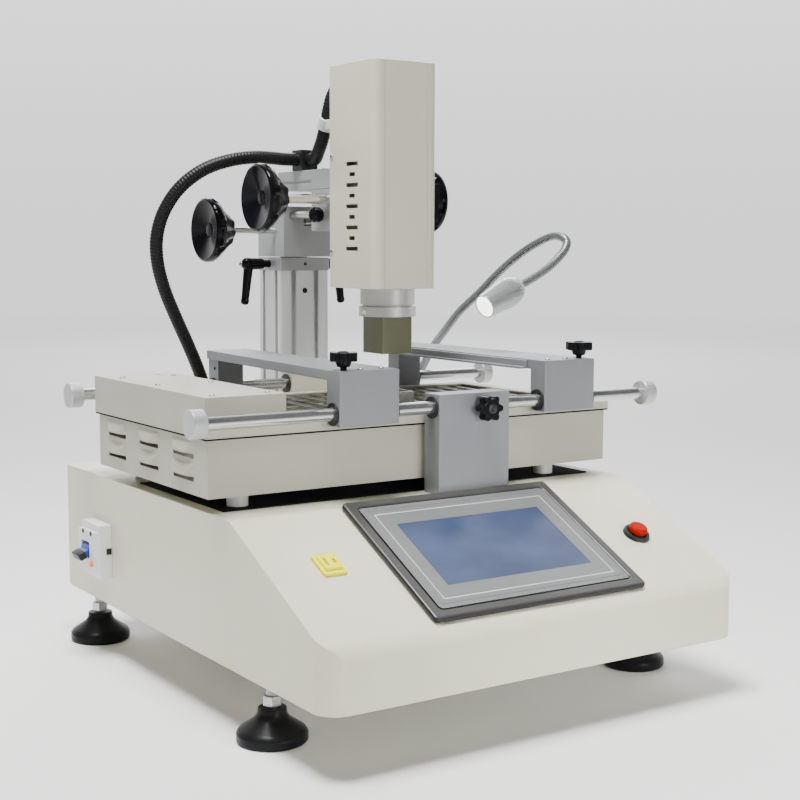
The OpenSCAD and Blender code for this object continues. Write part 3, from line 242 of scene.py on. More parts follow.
def turned(name, outline, steps=40, hexagon=0.0):
    """Piece spun round Z from (radius, height) points; rings inside the hexagon radius become a socket."""
    bpy.ops.object.select_all(action="DESELECT")
    bpy.ops.mesh.primitive_plane_add(size=0.001, location=(0, 0, 0))
    piece = bpy.context.object
    piece.name = name
    bpy.ops.object.mode_set(mode="EDIT")
    bpy.ops.mesh.select_all(action="SELECT")
    bpy.ops.mesh.merge(type="CENTER")
    here = Vector((outline[0][0], 0, outline[0][1]))
    bpy.ops.transform.translate(value=here)
    for radius, height in outline[1:]:
        there = Vector((radius, 0, height))
        bpy.ops.mesh.extrude_region_move(TRANSFORM_OT_translate={"value": there - here})
        here = there
    bpy.ops.mesh.select_all(action="SELECT")
    bpy.ops.mesh.spin(steps=steps, angle=2 * math.pi, center=(0, 0, 0), axis=(0, 0, 1))
    bpy.ops.mesh.select_all(action="SELECT")
    bpy.ops.mesh.remove_doubles(threshold=0.000005)
    bpy.ops.mesh.normals_make_consistent(inside=False)
    bpy.ops.object.mode_set(mode="OBJECT")
    flat_share, sixth = 0.9, math.pi / 3
    for corner in piece.data.vertices:
        reach = math.hypot(corner.co.x, corner.co.y)
        if 0 < reach < hexagon:
            side = (math.atan2(corner.co.y, corner.co.x) + sixth / 2) % sixth - sixth / 2
            corner.co.x *= flat_share / math.cos(side)
            corner.co.y *= flat_share / math.cos(side)
    bpy.ops.object.shade_smooth_by_angle(angle=math.radians(38))
    return piece


def set_out(piece, spots, body, coat):
    """Copies of a piece at (place, direction) pairs, joined as one piece that moves with a body."""
    name = piece.name
    copies = []
    for place, along in spots:
        made = bpy.data.objects.new(name, piece.data.copy())
        bpy.context.collection.objects.link(made)
        aim = Vector(along).to_track_quat("Z", "Y").to_matrix().to_4x4()
        made.data.transform(Matrix.Translation(Vector(place)) @ aim)
        copies.append(made)
    bpy.data.objects.remove(piece)
    bpy.ops.object.select_all(action="DESELECT")
    for made in copies:
        made.select_set(True)
    whole = copies[0]
    bpy.context.view_layer.objects.active = whole
    if len(copies) > 1:
        bpy.ops.object.join()
    whole.name = name
    whole.data.materials.clear()
    whole.data.materials.append(coat)
    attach(whole, body)
    return whole


pad_plastic = finish("pad_plastic", light=(0.012, 0.012, 0.013), dark=(0.007, 0.007, 0.008),
                     rough=0.32, grain=0.0006, bump=0.12, shine=0.1)
zinc = finish("zinc", light=(0.55, 0.55, 0.54), dark=(0.4, 0.4, 0.4),
              rough=0.3, grain=0.0005, bump=0.1, metal=1.0, stretch=(1, 1, 6))
eased("foot_pads", "feet", ease=0.0008, coat=pad_plastic)
eased("foot_stems", "feet_studs", ease=0.0004, coat=zinc)
pad_low, pad_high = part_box("foot_pads")
pad_r = 0.03
foot_spots = [(x, y) for x in (pad_low[0] + pad_r, pad_high[0] - pad_r)
              for y in (pad_low[1] + pad_r, pad_high[1] - pad_r)]
thread_z, thread_pitch, thread_turns = 0.0392, 0.0014, 5
inner_r, root_r, tip_r, tip_from, tip_to = 0.0048, 0.0049, 0.0053, 0.45, 0.55
thread_end = thread_z + thread_turns * thread_pitch
thread_line = [(inner_r, thread_z)]
for turn in range(thread_turns):
    z = thread_z + turn * thread_pitch
    thread_line += [(root_r, z), (tip_r, z + thread_pitch * tip_from), (tip_r, z + thread_pitch * tip_to)]
thread_line += [(root_r, thread_end), (inner_r, thread_end)]
set_out(turned("feet_threads", thread_line, steps=28), [((x, y, 0), (0, 0, 1)) for x, y in foot_spots],
        "base", zinc)

# Cabinet: folded sheet steel, powder coated a warm off-white with a faint orange peel, closed below by
# a slotted plate. Low socket screws hold its rear wall.
cream = finish("cream", light=(0.66, 0.645, 0.505), dark=(0.63, 0.615, 0.475),
               rough=0.38, grain=0.0011, bump=0.06, clear=0.08)
eased("base_shell", "cabinet", ease=0.0014, coat=cream, segments=3)
eased("base_plate", "cabinet_bottom", ease=0.0003, coat=cream)


def socket_screw(name, radius):
    """Low round screw head with a hexagon socket, drawn along Z."""
    return turned(name, [(radius * 0.7, -0.0004), (radius * 0.94, 0), (radius, radius * 0.12),
                         (radius * 0.97, radius * 0.3), (radius * 0.82, radius * 0.44),
                         (radius * 0.5, radius * 0.48), (radius * 0.46, radius * 0.44),
                         (radius * 0.46, radius * 0.1), (0, radius * 0.06)],
                  steps=24, hexagon=radius * 0.48)


bright = finish("bright", light=(0.6, 0.6, 0.59), dark=(0.45, 0.45, 0.45),
                rough=0.26, grain=0.0004, bump=0.06, metal=1.0)
shell_low, shell_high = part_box("base_shell")
wall_x, wall_z, wall_mid = 0.014, 0.012, -0.01
rear_spots = [((x, shell_high[1], z), (0, 1, 0))
              for x in (shell_low[0] + wall_x, wall_mid, shell_high[0] - wall_x)
              for z in (shell_low[2] + wall_z, shell_high[2] - wall_z)]
set_out(socket_screw("cabinet_screws", radius=0.0036), rear_spots, "base", bright)

# Touch panel: a dark painted frame with broad rounded bars round a satin silver face with one thin pale line,
# and a blue-grey screen. The bars' sides take a darker copy of the frame paint, which is painted shade, and
# the screen's lighter and darker bands are painted reflections of its film. It is clamped in the sloped front
# from behind.
face_slope = math.radians(26.24)
rim_paint = finish("rim_paint", light=(0.066, 0.065, 0.062), dark=(0.045, 0.0445, 0.043),
                   rough=0.34, grain=0.0007, bump=0.08, metal=0.3, clear=0.2)
rim_side_shade = finish("rim_side_shade", light=(0.014, 0.014, 0.015), dark=(0.009, 0.009, 0.009),
                  rough=0.3, grain=0.0007, bump=0.08, clear=0.1, shine=0.25)
foil = finish("foil", light=(0.215, 0.22, 0.22), dark=(0.19, 0.195, 0.2),
              rough=0.36, grain=0.0004, bump=0.05, metal=0.4)
rim = eased("hmi_bezel", "panel_rim", ease=0.0026, coat=rim_paint, segments=4)
rim.data.materials.append(rim_side_shade)
panel_up = Vector((0, -math.sin(face_slope), math.cos(face_slope)))
# Rim faces that lean away from the panel's face get the second, darker paint: painted shade on the bars'
# sides.
shade_lean = 0.6
for face in rim.data.polygons:
    if face.normal.dot(panel_up) < shade_lean:
        face.material_index = 1
eased("hmi_face", "panel_face", ease=0.0002, coat=foil)
# Blue-grey screen. The cloudy lighter and darker bands in its colour are painted reflections of its wrinkled
# film.
screen_sheen = finish("screen_sheen", light=(0.05, 0.072, 0.15), dark=(0.03, 0.043, 0.092),
               rough=0.2, grain=0.02, bump=0.0, clear=0.06, stretch=(1.2, 2.2, 1), shine=0.3)
eased("hmi_screen", "panel_screen", ease=0.0002, coat=screen_sheen)


def bar(name, low, high, ease, body, coat, axis="X", turn=0.0, about=(0, 0, 0)):
    """Small block between two corners with rounded edges, turned round a point where asked."""
    bpy.ops.object.select_all(action="DESELECT")
    bpy.ops.mesh.primitive_cube_add(size=1, location=(0, 0, 0))
    piece = bpy.context.object
    piece.name = name
    low, high = Vector(low), Vector(high)
    bpy.ops.object.mode_set(mode="EDIT")
    bpy.ops.mesh.select_all(action="SELECT")
    bpy.ops.transform.resize(value=high - low)
    bpy.ops.transform.translate(value=(low + high) / 2)
    bpy.ops.mesh.bevel(offset=ease, segments=3, affect="EDGES")
    bpy.ops.object.mode_set(mode="OBJECT")
    there = Matrix.Translation(Vector(about))
    piece.data.transform(there @ Matrix.Rotation(turn, 4, axis) @ there.inverted())
    bpy.ops.object.shade_smooth_by_angle(angle=math.radians(35))
    piece.data.materials.append(coat)
    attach(piece, body)
    return piece


face_low, face_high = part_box("hmi_face")
face_mid = (Vector(face_low) + Vector(face_high)) / 2
line_half, line_w, line_ease = (0.091, 0.0585), 0.0007, 0.00003
line_under, line_top = 0.0009, 0.00108
line_paint = finish("line_paint", light=(0.7, 0.7, 0.69), dark=(0.62, 0.62, 0.61),
                    rough=0.4, grain=0.0005, bump=0.05)
for side in (-1, 1):
    for along, half, reach in ((0, line_half[0], line_half[1]), (1, line_half[1], line_half[0])):
        low = [-half - line_w / 2, side * reach - line_w / 2]
        high = [half + line_w / 2, side * reach + line_w / 2]
        if along:
            low, high = low[::-1], high[::-1]
        bar("panel_line", face_mid + Vector((*low, line_under)), face_mid + Vector((*high, line_top)),
            line_ease, "base", line_paint, "X", face_slope, face_mid)

# Probe socket and start button: a moulded yellow socket with two flat slots of unlike length, and a red
# push cap in a black moulded collar. Both are set in holes of the sloped front.
yellow = finish("yellow", light=(0.93, 0.87, 0.0), dark=(0.87, 0.81, 0.0),
                rough=0.55, grain=0.0006, bump=0.08, shine=0.0)
red = finish("red", light=(0.34, 0.004, 0.0), dark=(0.28, 0.003, 0.0),
             rough=0.3, grain=0.0008, bump=0.03, shine=0.06)
black_plastic = finish("black_plastic", light=(0.014, 0.014, 0.015), dark=(0.008, 0.008, 0.008),
                       rough=0.4, grain=0.0006, bump=0.12, shine=0.35)
eased("sensor_socket", "probe_socket", ease=0.0004, coat=yellow)
eased("button_ring", "button_collar", ease=0.0005, coat=black_plastic)
cap = eased("start_button", "button_cap", ease=0.0012, coat=red, segments=3)
cap_low, cap_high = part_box("start_button")
cap_mid = (Vector(cap_low) + Vector(cap_high)) / 2
cap_slope = Vector((0, math.cos(face_slope), math.sin(face_slope)))
cap_fit = 0.98
narrower = Matrix.Scale(cap_fit, 4, Vector((1, 0, 0))) @ Matrix.Scale(cap_fit, 4, cap_slope)
cap.data.transform(Matrix.Translation(cap_mid) @ narrower @ Matrix.Translation(-cap_mid))

# Circuit breaker: a matte white moulded case through the left wall, a blue toggle with a black grip,
# an orange test button, dark terminal screws and a dark rail catch at its front side.
case_plastic = finish("case_plastic", light=(0.82, 0.83, 0.83), dark=(0.77, 0.78, 0.78),
                      rough=0.45, grain=0.0007, bump=0.08)
blue = finish("blue", light=(0.02, 0.075, 0.42), dark=(0.015, 0.055, 0.33),
              rough=0.3, grain=0.0006, bump=0.06)
orange = finish("orange", light=(0.8, 0.3, 0.05), dark=(0.72, 0.24, 0.03),
                rough=0.35, grain=0.0006, bump=0.06)
eased("breaker_body", "breaker_case", ease=0.0006, coat=case_plastic)
eased("breaker_toggle", "breaker_lever", ease=0.0006, coat=blue)
eased("breaker_test", "breaker_button", ease=0.0004, coat=orange)
case_low, case_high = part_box("breaker_body")
toggle_low, toggle_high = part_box("breaker_toggle")
toggle_y = (toggle_low[1] + toggle_high[1]) / 2
axis_in, grip_tilt = 0.005, math.radians(-25)
grip_near, grip_far, grip_half_y, grip_half_z, grip_ease = 0.0085, 0.0162, 0.0098, 0.0037, 0.0012
toggle_axis = Vector((case_low[0] + axis_in, toggle_y, (case_low[2] + case_high[2]) / 2))
bar("breaker_grip", toggle_axis + Vector((-grip_far, -grip_half_y, -grip_half_z)),
    toggle_axis + Vector((-grip_near, grip_half_y, grip_half_z)), grip_ease,
    "breaker_toggle", black_plastic, "Y", grip_tilt, toggle_axis)
terminal_y, terminal_z, terminal_step = case_low[1] + 0.012, case_high[2] - 0.009, 0.02
set_out(turned("breaker_screws", [(0.0026, -0.0002), (0.0026, 0.0003), (0.0022, 0.0005), (0.0012, 0.0004),
                                  (0.001, 0.0001), (0, 0.0001)], steps=24, hexagon=0.0011),
        [((case_low[0], y, terminal_z), (-1, 0, 0)) for y in (terminal_y, terminal_y + terminal_step)],
        "base", black_plastic)
catch_x, catch_y, catch_z, catch_ease = (-0.006, -0.001), (-0.0012, 0.002), (0.024, 0.03), 0.0005
bar("breaker_catch", (shell_low[0] + catch_x[0], case_low[1] + catch_y[0], case_low[2] + catch_z[0]),
    (shell_low[0] + catch_x[1], case_low[1] + catch_y[1], case_low[2] + catch_z[1]), catch_ease,
    "base", black_plastic)

# Mains inlet: a black moulded socket with three blades, set in a window of the rear wall and held there by
# two screws.
eased("mains_inlet", "inlet", ease=0.0004, coat=black_plastic)
inlet_low, inlet_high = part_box("mains_inlet")
inlet_z, inlet_in = (inlet_low[2] + inlet_high[2]) / 2, 0.004
inlet_spots = [((x, inlet_high[1], inlet_z), (0, 1, 0))
               for x in (inlet_low[0] + inlet_in, inlet_high[0] - inlet_in)]
set_out(socket_screw("inlet_screws", radius=0.0029), inlet_spots, "base", bright)

# Heater box: a painted sheet tray with pressed louvres on turned standoffs, and a folded cover with a raised
# housing, screwed down. A thin black sheet on the cabinet top under the tray is painted shade in the gap
# below the box, and thin black strips round the cover's lower edge are a painted shadow line under its
# overhang. Inside are quartz tubes in sheet carriers, a welded wire grid and the duct of the lower hot air.
tube_quartz = finish("tube_quartz", light=(0.7, 0.68, 0.62), dark=(0.58, 0.56, 0.5),
                     rough=0.2, grain=0.001, bump=0.04)
spacer_alloy = finish("spacer_alloy", light=(0.6, 0.6, 0.57), dark=(0.53, 0.53, 0.5),
                      rough=0.45, grain=0.0006, bump=0.06, metal=0.1)
eased("heater_standoffs", "box_standoffs", ease=0.0004, coat=spacer_alloy)
box_paint = finish("box_paint", light=(0.43, 0.423, 0.343), dark=(0.4, 0.394, 0.318),
                   rough=0.42, grain=0.0011, bump=0.06, clear=0.06)
eased("heater_tray", "box_tray", ease=0.0005, coat=box_paint)
eased("heater_cover", "box_cover", ease=0.0006, coat=box_paint)
eased("ir_tubes", "heat_tubes", ease=0.0003, coat=tube_quartz)
eased("heater_mesh", "box_grid", ease=0.0003, coat=bright)
eased("lower_duct", "lower_nozzle", ease=0.0003, coat=bright)
tray_low, tray_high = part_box("heater_tray")
slope_run, gap_shade_in, gap_shade_front, gap_shade_rear = 0.155, 0.02, 0.002, 0.06
gap_shade_under, gap_shade_top, gap_shade_ease = shell_high[2] + 0.0001, shell_high[2] + 0.0012, 0.0003
gap_shade_y = max(tray_low[1] + gap_shade_front, shell_low[1] + slope_run)
# Thin black sheet on the cabinet top under the tray: painted shade in the gap between the box and the
# cabinet.
painted_shade_black = finish("painted_shade_black", light=(0.02, 0.02, 0.021), dark=(0.012, 0.012, 0.013),
                   rough=0.8, grain=0.0009, bump=0.3, shine=0.1)
bar("gap_shade_sheet", (tray_low[0] + gap_shade_in, gap_shade_y, gap_shade_under),
    (tray_high[0] - gap_shade_in, tray_high[1] - gap_shade_rear, gap_shade_top), gap_shade_ease, "base", painted_shade_black)
cover_low, cover_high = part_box("heater_cover")
row_left, row_right, row_front, row_rear = 0.012, 0.0655, 0.012, 0.04
housing_y = (cover_low[1] + row_front, (cover_low[1] + cover_high[1]) / 2, cover_high[1] - row_rear)
housing_spots = [((cover_low[0] + x, y, cover_high[2]), (0, 0, 1))
                 for x in (row_left, row_right) for y in housing_y]
set_out(socket_screw("cover_screws", radius=0.0026), housing_spots, "base", bright)
# Thin black strips round the cover's lower edge: a painted shadow line under its overhang.
shadow_line_wide, shadow_line_in, shadow_line_high, shadow_line_ease = 0.003, 0.0004, 0.0014, 0.0003
shadow_line_top = cover_low[2] - 0.0001
for reach_x, reach_y in ((-1, 0), (1, 0), (0, -1), (0, 1)):
    low = [cover_low[0] + shadow_line_in, cover_low[1] + shadow_line_in, shadow_line_top - shadow_line_high]
    high = [cover_high[0] - shadow_line_in, cover_high[1] - shadow_line_in, shadow_line_top]
    for axis, reach in ((0, reach_x), (1, reach_y)):
        if reach < 0:
            high[axis] = cover_low[axis] + shadow_line_wide
        if reach > 0:
            low[axis] = cover_high[axis] - shadow_line_wide
    bar("cover_shadow_line", low, high, shadow_line_ease, "base", painted_shade_black)

# Rod brackets: milled alloy blocks screwed on the cabinet, the front one clear anodised with a star
# knob that locks the rods, the rear one painted. The rods run in black plain bushes with flanges.
alloy = finish("alloy", light=(0.245, 0.255, 0.267), dark=(0.215, 0.225, 0.238),
               rough=0.42, grain=0.0005, bump=0.08, metal=0.3)
gloss_black = finish("gloss_black", light=(0.006, 0.006, 0.008), dark=(0.004, 0.004, 0.005),
                     rough=0.14, grain=0.0012, bump=0.03, shine=0.14)
eased("front_bracket", "bracket_front", ease=0.0006, coat=alloy)
eased("rear_bracket", "bracket_rear", ease=0.0006, coat=cream)
eased("bracket_bushes", "bushes_bracket", ease=0.0003, coat=black_plastic)
eased("bracket_knob", "knob_bracket", ease=0.0008, coat=gloss_black)
knob_low, knob_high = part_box("bracket_knob")
knob_x, knob_z = (knob_low[0] + knob_high[0]) / 2, (knob_low[2] + knob_high[2]) / 2


def knob_cap(name):
    """Pressed cap over a knob's insert, drawn along Z."""
    return turned(name, [(0.0048, -0.0003), (0.0048, 0.0002), (0.0042, 0.0007), (0.0026, 0.0009),
                         (0.0022, 0.0006), (0, 0.0005)], steps=28)


set_out(knob_cap("knob_bracket_cap"), [((knob_x, knob_low[1], knob_z), (0, -1, 0))],
        "bracket_knob", black_plastic)

# Table rods: two hard chromed rods that slide in the brackets' bushes and carry the board clamps, with
# turned, satin end caps pressed on.
chrome = finish("chrome", light=(0.82, 0.82, 0.82), dark=(0.75, 0.75, 0.75),
                rough=0.15, grain=0.0006, bump=0.02, metal=1.0)
rod_chrome = finish("rod_chrome", light=(0.66, 0.67, 0.67), dark=(0.58, 0.59, 0.59),
                    rough=0.16, grain=0.0006, bump=0.02, metal=0.9)
cap_alloy = finish("cap_alloy", light=(0.56, 0.57, 0.565), dark=(0.49, 0.5, 0.5),
                   rough=0.36, grain=0.0005, bump=0.06, metal=0.5)
eased("table_rods", "rods", ease=0.0006, coat=rod_chrome)
eased("rod_caps", "rod_ends", ease=0.0003, coat=cap_alloy)

# Board clamps: milled alloy frames that slide on the rods in flanged bushes, each with a thin ledge strip
# along its arm, a star knob that pinches the front rod, and at the left a dark stop finger under the strip.
finger_paint = finish("finger_paint", light=(0.05, 0.052, 0.052), dark=(0.035, 0.036, 0.037),
                      rough=0.4, grain=0.0005, bump=0.08, metal=0.4)
clamp_screw_y, clamp_screw_x = 0.011, (0.028, 0.05)
strip_wide, strip_thick = 0.0101, 0.0081
for side in ("left", "right"):
    eased(side + "_frame", "clamp_" + side, ease=0.0006, coat=alloy)
    strip = eased(side + "_jaw", "jaw_" + side, ease=0.0004, coat=alloy)
    eased(side + "_bushes", "bushes_" + side, ease=0.0003, coat=black_plastic)
    eased(side + "_knob", "knob_" + side, ease=0.0008, coat=gloss_black)
    knob_low, knob_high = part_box(side + "_knob")
    knob_x, knob_y = (knob_low[0] + knob_high[0]) / 2, (knob_low[1] + knob_high[1]) / 2
    set_out(knob_cap("knob_%s_cap" % side), [((knob_x, knob_y, knob_high[2]), (0, 0, 1))],
            side + "_knob", black_plastic)
    frame_low, frame_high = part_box(side + "_frame")
    edge_x = frame_low[0] if side == "left" else frame_high[0]
    inward = 1 if side == "left" else -1
    clamp_spots = [((edge_x + inward * x, frame_low[1] + clamp_screw_y, frame_high[2]), (0, 0, 1))
                   for x in clamp_screw_x]
    set_out(socket_screw("clamp_%s_screws" % side, radius=0.003), clamp_spots,
            side + "_clamp", bright)
    if side == "left":
        jaw_low, jaw_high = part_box("left_jaw")
        strip.data.materials.append(finger_paint)
        for face in strip.data.polygons:
            across, up = face.center.x - jaw_low[0], jaw_high[2] - face.center.z
            if across > strip_wide or up > strip_thick:
                face.material_index = 1

# Column: an extruded, anodised slotted profile with a black plug in its front, a milled clamp collar and
# two ratchet levers that pinch the ground lift post inside it.
column_alloy = finish("column_alloy", light=(0.8, 0.81, 0.805), dark=(0.73, 0.74, 0.74),
                      rough=0.36, grain=0.0005, bump=0.08, metal=0.5, stretch=(6, 6, 0.4))
eased("column", "column_profile", ease=0.0004, coat=column_alloy)
column_low, column_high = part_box("column")
plug_drop = 0.022
set_out(turned("column_plug", [(0.0029, -0.001), (0.0029, 0.0002), (0.0025, 0.0005), (0.0012, 0.0005),
                               (0.001, 0.0001), (0, 0.0001)], steps=24, hexagon=0.0011),
        [(((column_low[0] + column_high[0]) / 2, column_low[1], column_high[2] - plug_drop), (0, -1, 0))],
        "base", black_plastic)
arm_alloy = finish("arm_alloy", light=(0.4, 0.405, 0.41), dark=(0.355, 0.36, 0.365),
                   rough=0.4, grain=0.0005, bump=0.08, metal=0.35)
eased("column_collar", "collar", ease=0.0005, coat=arm_alloy)
eased("lift_post", "post", ease=0.0004, coat=bright)
collar_low, collar_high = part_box("column_collar")
hub_z, hub_gap = (collar_low[2] + collar_high[2]) / 2, 0.0003
for side in ("left", "right"):
    eased(side + "_lever", "lever_" + side, ease=0.0005, coat=gloss_black)
    lever_low, lever_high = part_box(side + "_lever")
    hub_x = lever_low[0] if side == "left" else lever_high[0]
    inward = 1 if side == "left" else -1
    hub_spot = (hub_x + inward * hub_gap, (lever_low[1] + lever_high[1]) / 2, hub_z)
    set_out(socket_screw("lever_%s_screw" % side, radius=0.003), [(hub_spot, (-inward, 0, 0))],
            side + "_lever", bright)

# Carriage: a milled alloy block on the post with the pinion shaft of the arm's feed. Its handwheel is moulded
# in glossy black plastic, dished and lobed, with a fluted cone as a grip behind the rim.
eased("carriage", "carriage_block", ease=0.0006, coat=arm_alloy)
eased("rear_shaft", "shaft_rear", ease=0.0003, coat=chrome)
eased("rear_wheel", "handwheel_rear", ease=0, coat=gloss_black)
car_low, car_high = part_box("carriage")
car_in, car_back = 0.006, 0.007
car_spots = [((x, car_low[1] + car_back, car_high[2]), (0, 0, 1))
             for x in (car_low[0] + car_in, car_high[0] - car_in)]
set_out(socket_screw("carriage_screws", radius=0.0035), car_spots, "post", bright)


def wheel_cap(name):
    """Black cap in the middle of a handwheel's dish, drawn along Z."""
    return turned(name, [(0.0072, -0.001), (0.0072, 0.0004), (0.0064, 0.0012), (0.003, 0.0016), (0, 0.0017)],
                  steps=32)


def wheel_grip(name, first):
    """Fluted cone behind a handwheel's rim, drawn along Z from its face; the first flute is at an angle."""
    piece = turned(name, [(0.0292, 0.0135), (0.0268, 0.0165), (0.0228, 0.0205), (0.0192, 0.0245),
                          (0.0168, 0.028), (0.0152, 0.0302), (0.0132, 0.0309), (0.0108, 0.0309)], steps=84)
    flutes, flute_depth = 7, 0.14
    for corner in piece.data.vertices:
        turn = math.atan2(corner.co.y, corner.co.x) - first
        share = 1 - flute_depth * (0.5 + 0.5 * math.cos(flutes * turn))
        corner.co.x *= share
        corner.co.y *= share
    return piece


rear_low, rear_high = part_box("rear_wheel")
rear_y, rear_z = (rear_low[1] + rear_high[1]) / 2, (rear_low[2] + rear_high[2]) / 2
dish = 0.007
set_out(wheel_cap("handwheel_rear_cap"), [((rear_low[0] + dish, rear_y, rear_z), (-1, 0, 0))],
        "rear_wheel", gloss_black)
set_out(wheel_grip("handwheel_rear_grip", -math.pi / 2), [((rear_low[0], rear_y, rear_z), (1, 0, 0))],
        "rear_wheel", gloss_black)

# Arm: a milled top bar and bearing block, two ground guide rods with the feed rack between them, a
# turned lock knob and a black clip that holds the conduit.
eased("arm_bar", "arm_top", ease=0.0006, coat=arm_alloy)
eased("arm_block", "arm_body", ease=0.0006, coat=arm_alloy)
eased("arm_guides", "guides", ease=0.0003, coat=bright)
eased("conduit_clip", "clip", ease=0.0006, coat=black_plastic)
eased("arm_lock_knob", "knob_arm", ease=0.0006, coat=gloss_black)
top_low, top_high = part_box("arm_bar")
arm_in, arm_row = 0.012, (0.012, 0.032)
set_out(socket_screw("arm_screws", radius=0.0035),
        [((x, top_low[1] + y, top_high[2]), (0, 0, 1)) for x in (top_low[0] + arm_in, top_high[0] - arm_in)
         for y in arm_row], "arm", bright)

# Head lift: a chromed pinion shaft through the arm with a black handwheel like the carriage's pressed on
# each end.
eased("lift_shaft", "shaft_lift", ease=0.0003, coat=chrome)
eased("lift_wheels", "handwheels_lift", ease=0, coat=gloss_black)
lift_low, lift_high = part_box("lift_wheels")
lift_y, lift_z = (lift_low[1] + lift_high[1]) / 2, (lift_low[2] + lift_high[2]) / 2
set_out(wheel_cap("handwheels_lift_caps"), [((lift_low[0] + dish, lift_y, lift_z), (-1, 0, 0)),
                                            ((lift_high[0] - dish, lift_y, lift_z), (1, 0, 0))],
        "lift_wheels", gloss_black)
for side, face_x, inward in (("left", lift_low[0], 1), ("right", lift_high[0], -1)):
    set_out(wheel_grip("handwheel_%s_grip" % side, -inward * math.pi / 2),
            [((face_x, lift_y, lift_z), (inward, 0, 0))], "lift_wheels", gloss_black)

# Hot air head: a folded and painted cover with vent slots and a let-in front sheet, screwed at both
# sides on a back plate with its rail and rack; the heater and blower sit inside.
eased("head_shell", "head_cover", ease=0.0004, coat=cream)
eased("head_back", "head_rear", ease=0.0004, coat=cream)
eased("head_heater", "head_core", ease=0.0004, coat=case_plastic)
head_low, head_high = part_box("head_shell")
side_in, side_up = 0.004, (0.036, 0.131)
side_spots = [((x, head_high[1] - side_in, head_low[2] + up), (out, 0, 0))
              for x, out in ((head_low[0], -1), (head_high[0], 1)) for up in side_up]
set_out(socket_screw("head_screws", radius=0.0026), side_spots, "head", bright)

# Nozzle: a satin cast collar with a lug under the head, and a folded square nozzle of steel tinted by heat,
# whose round flange seats in the collar.
olive = finish("olive", light=(0.165, 0.172, 0.105), dark=(0.122, 0.127, 0.078),
               rough=0.38, grain=0.0006, bump=0.08, metal=0.5)
collar_cast = finish("collar_cast", light=(0.56, 0.555, 0.53), dark=(0.5, 0.495, 0.475),
                     rough=0.36, grain=0.0006, bump=0.08, metal=0.35)
eased("nozzle_collar", "collar_nozzle", ease=0.0005, coat=collar_cast)
eased("nozzle", "nozzle_square", ease=0.0004, coat=olive)

# Conduit: black plastic coated spiral hose from a gland on the cabinet over the clip on the arm to the head.
# The first hose is drawn in two lengths, split at its crest.
eased("conduit_gland", "gland", ease=0.0005, coat=black_plastic)
hose_skin = finish("hose_skin", light=(0.01, 0.01, 0.011), dark=(0.005, 0.005, 0.006),
                   rough=0.42, grain=0.0008, bump=0.15, shine=0.2)


def run_through(points, step):
    """Evenly spaced points on the smooth line through a route, and the line's length."""
    route = [Vector(p) for p in points]
    finer = 24
    dense = []
    for i in range(len(route) - 1):
        a, b, c, d = route[max(i - 1, 0)], route[i], route[i + 1], route[min(i + 2, len(route) - 1)]
        for k in range(finer):
            u = k / finer
            dense.append(0.5 * (2 * b + (c - a) * u + (2 * a - 5 * b + 4 * c - d) * u * u
                                + (3 * b - a - 3 * c + d) * u * u * u))
    dense.append(route[-1])
    reach = [0.0]
    for a, b in zip(dense, dense[1:]):
        reach.append(reach[-1] + (b - a).length)
    count = max(2, round(reach[-1] / step))
    even, j = [], 0
    for k in range(count + 1):
        want = reach[-1] * k / count
        while j < len(dense) - 2 and reach[j + 1] < want:
            j += 1
        part = (want - reach[j]) / (reach[j + 1] - reach[j])
        even.append(dense[j].lerp(dense[j + 1], min(1.0, part)))
    return even, reach[-1]


def ribbed(name, line, radius, swell, sides):
    """Hose along a line of points whose wall swells and shrinks by the repeating factors."""
    path = bpy.data.curves.new(name, "CURVE")
    path.dimensions = "3D"
    path.bevel_depth = radius
    path.bevel_resolution = sides // 4 - 1
    path.use_fill_caps = True
    thread = path.splines.new("POLY")
    thread.points.add(len(line) - 1)
    for k, point in enumerate(line):
        thread.points[k].co = (*point, 1)
        thread.points[k].radius = swell[k % len(swell)]
    hose = bpy.data.objects.new(name, path)
    bpy.context.collection.objects.link(hose)
    bpy.ops.object.select_all(action="DESELECT")
    hose.select_set(True)
    bpy.context.view_layer.objects.active = hose
    bpy.ops.object.convert(target="MESH")
    hose = bpy.context.object
    hose.name = name
    bpy.ops.object.mode_set(mode="EDIT")
    bpy.ops.mesh.select_all(action="SELECT")
    bpy.ops.mesh.remove_doubles(threshold=0.00001)
    bpy.ops.mesh.normals_make_consistent(inside=False)
    bpy.ops.object.mode_set(mode="OBJECT")
    bpy.ops.object.shade_smooth_by_angle(angle=math.radians(60))
    return hose


hose_d, rib_pitch, hose_sides = 0.014, 0.0034, 16
ribs = (0.94, 0.982, 1.0, 0.982)
rib_step = rib_pitch / len(ribs)
clip_low, clip_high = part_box("conduit_clip")
clip_mid = (Vector(clip_low) + Vector(clip_high)) / 2
clip_drop = 0.01
clip_z = clip_high[2] - clip_drop
gland_low, gland_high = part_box("conduit_gland")
gland_x, gland_y = (gland_low[0] + gland_high[0]) / 2, (gland_low[1] + gland_high[1]) / 2
gland_top = gland_high[2]
end_gap = 0.0002
crest_spot = (-0.149, 0.208, 0.416)
first_route = [(gland_x, gland_y, gland_top + end_gap), (gland_x, gland_y, gland_top + 0.007),
               (gland_x, gland_y, gland_top + 0.014), (-0.077, 0.226, 0.226), (-0.086, 0.225, 0.248),
               (-0.097, 0.223, 0.276), (-0.11, 0.221, 0.304), (-0.124, 0.219, 0.332), (-0.138, 0.216, 0.362),
               (-0.147, 0.212, 0.39), crest_spot, (-0.143, 0.202, 0.442), (-0.128, 0.195, 0.466),
               (-0.105, 0.188, 0.484), (-0.078, 0.182, 0.494), (-0.05, 0.177, 0.498),
               (clip_low[0] - 0.016, clip_mid.y, clip_z), (clip_low[0] - 0.008, clip_mid.y, clip_z),
               (clip_low[0] - end_gap, clip_mid.y, clip_z)]
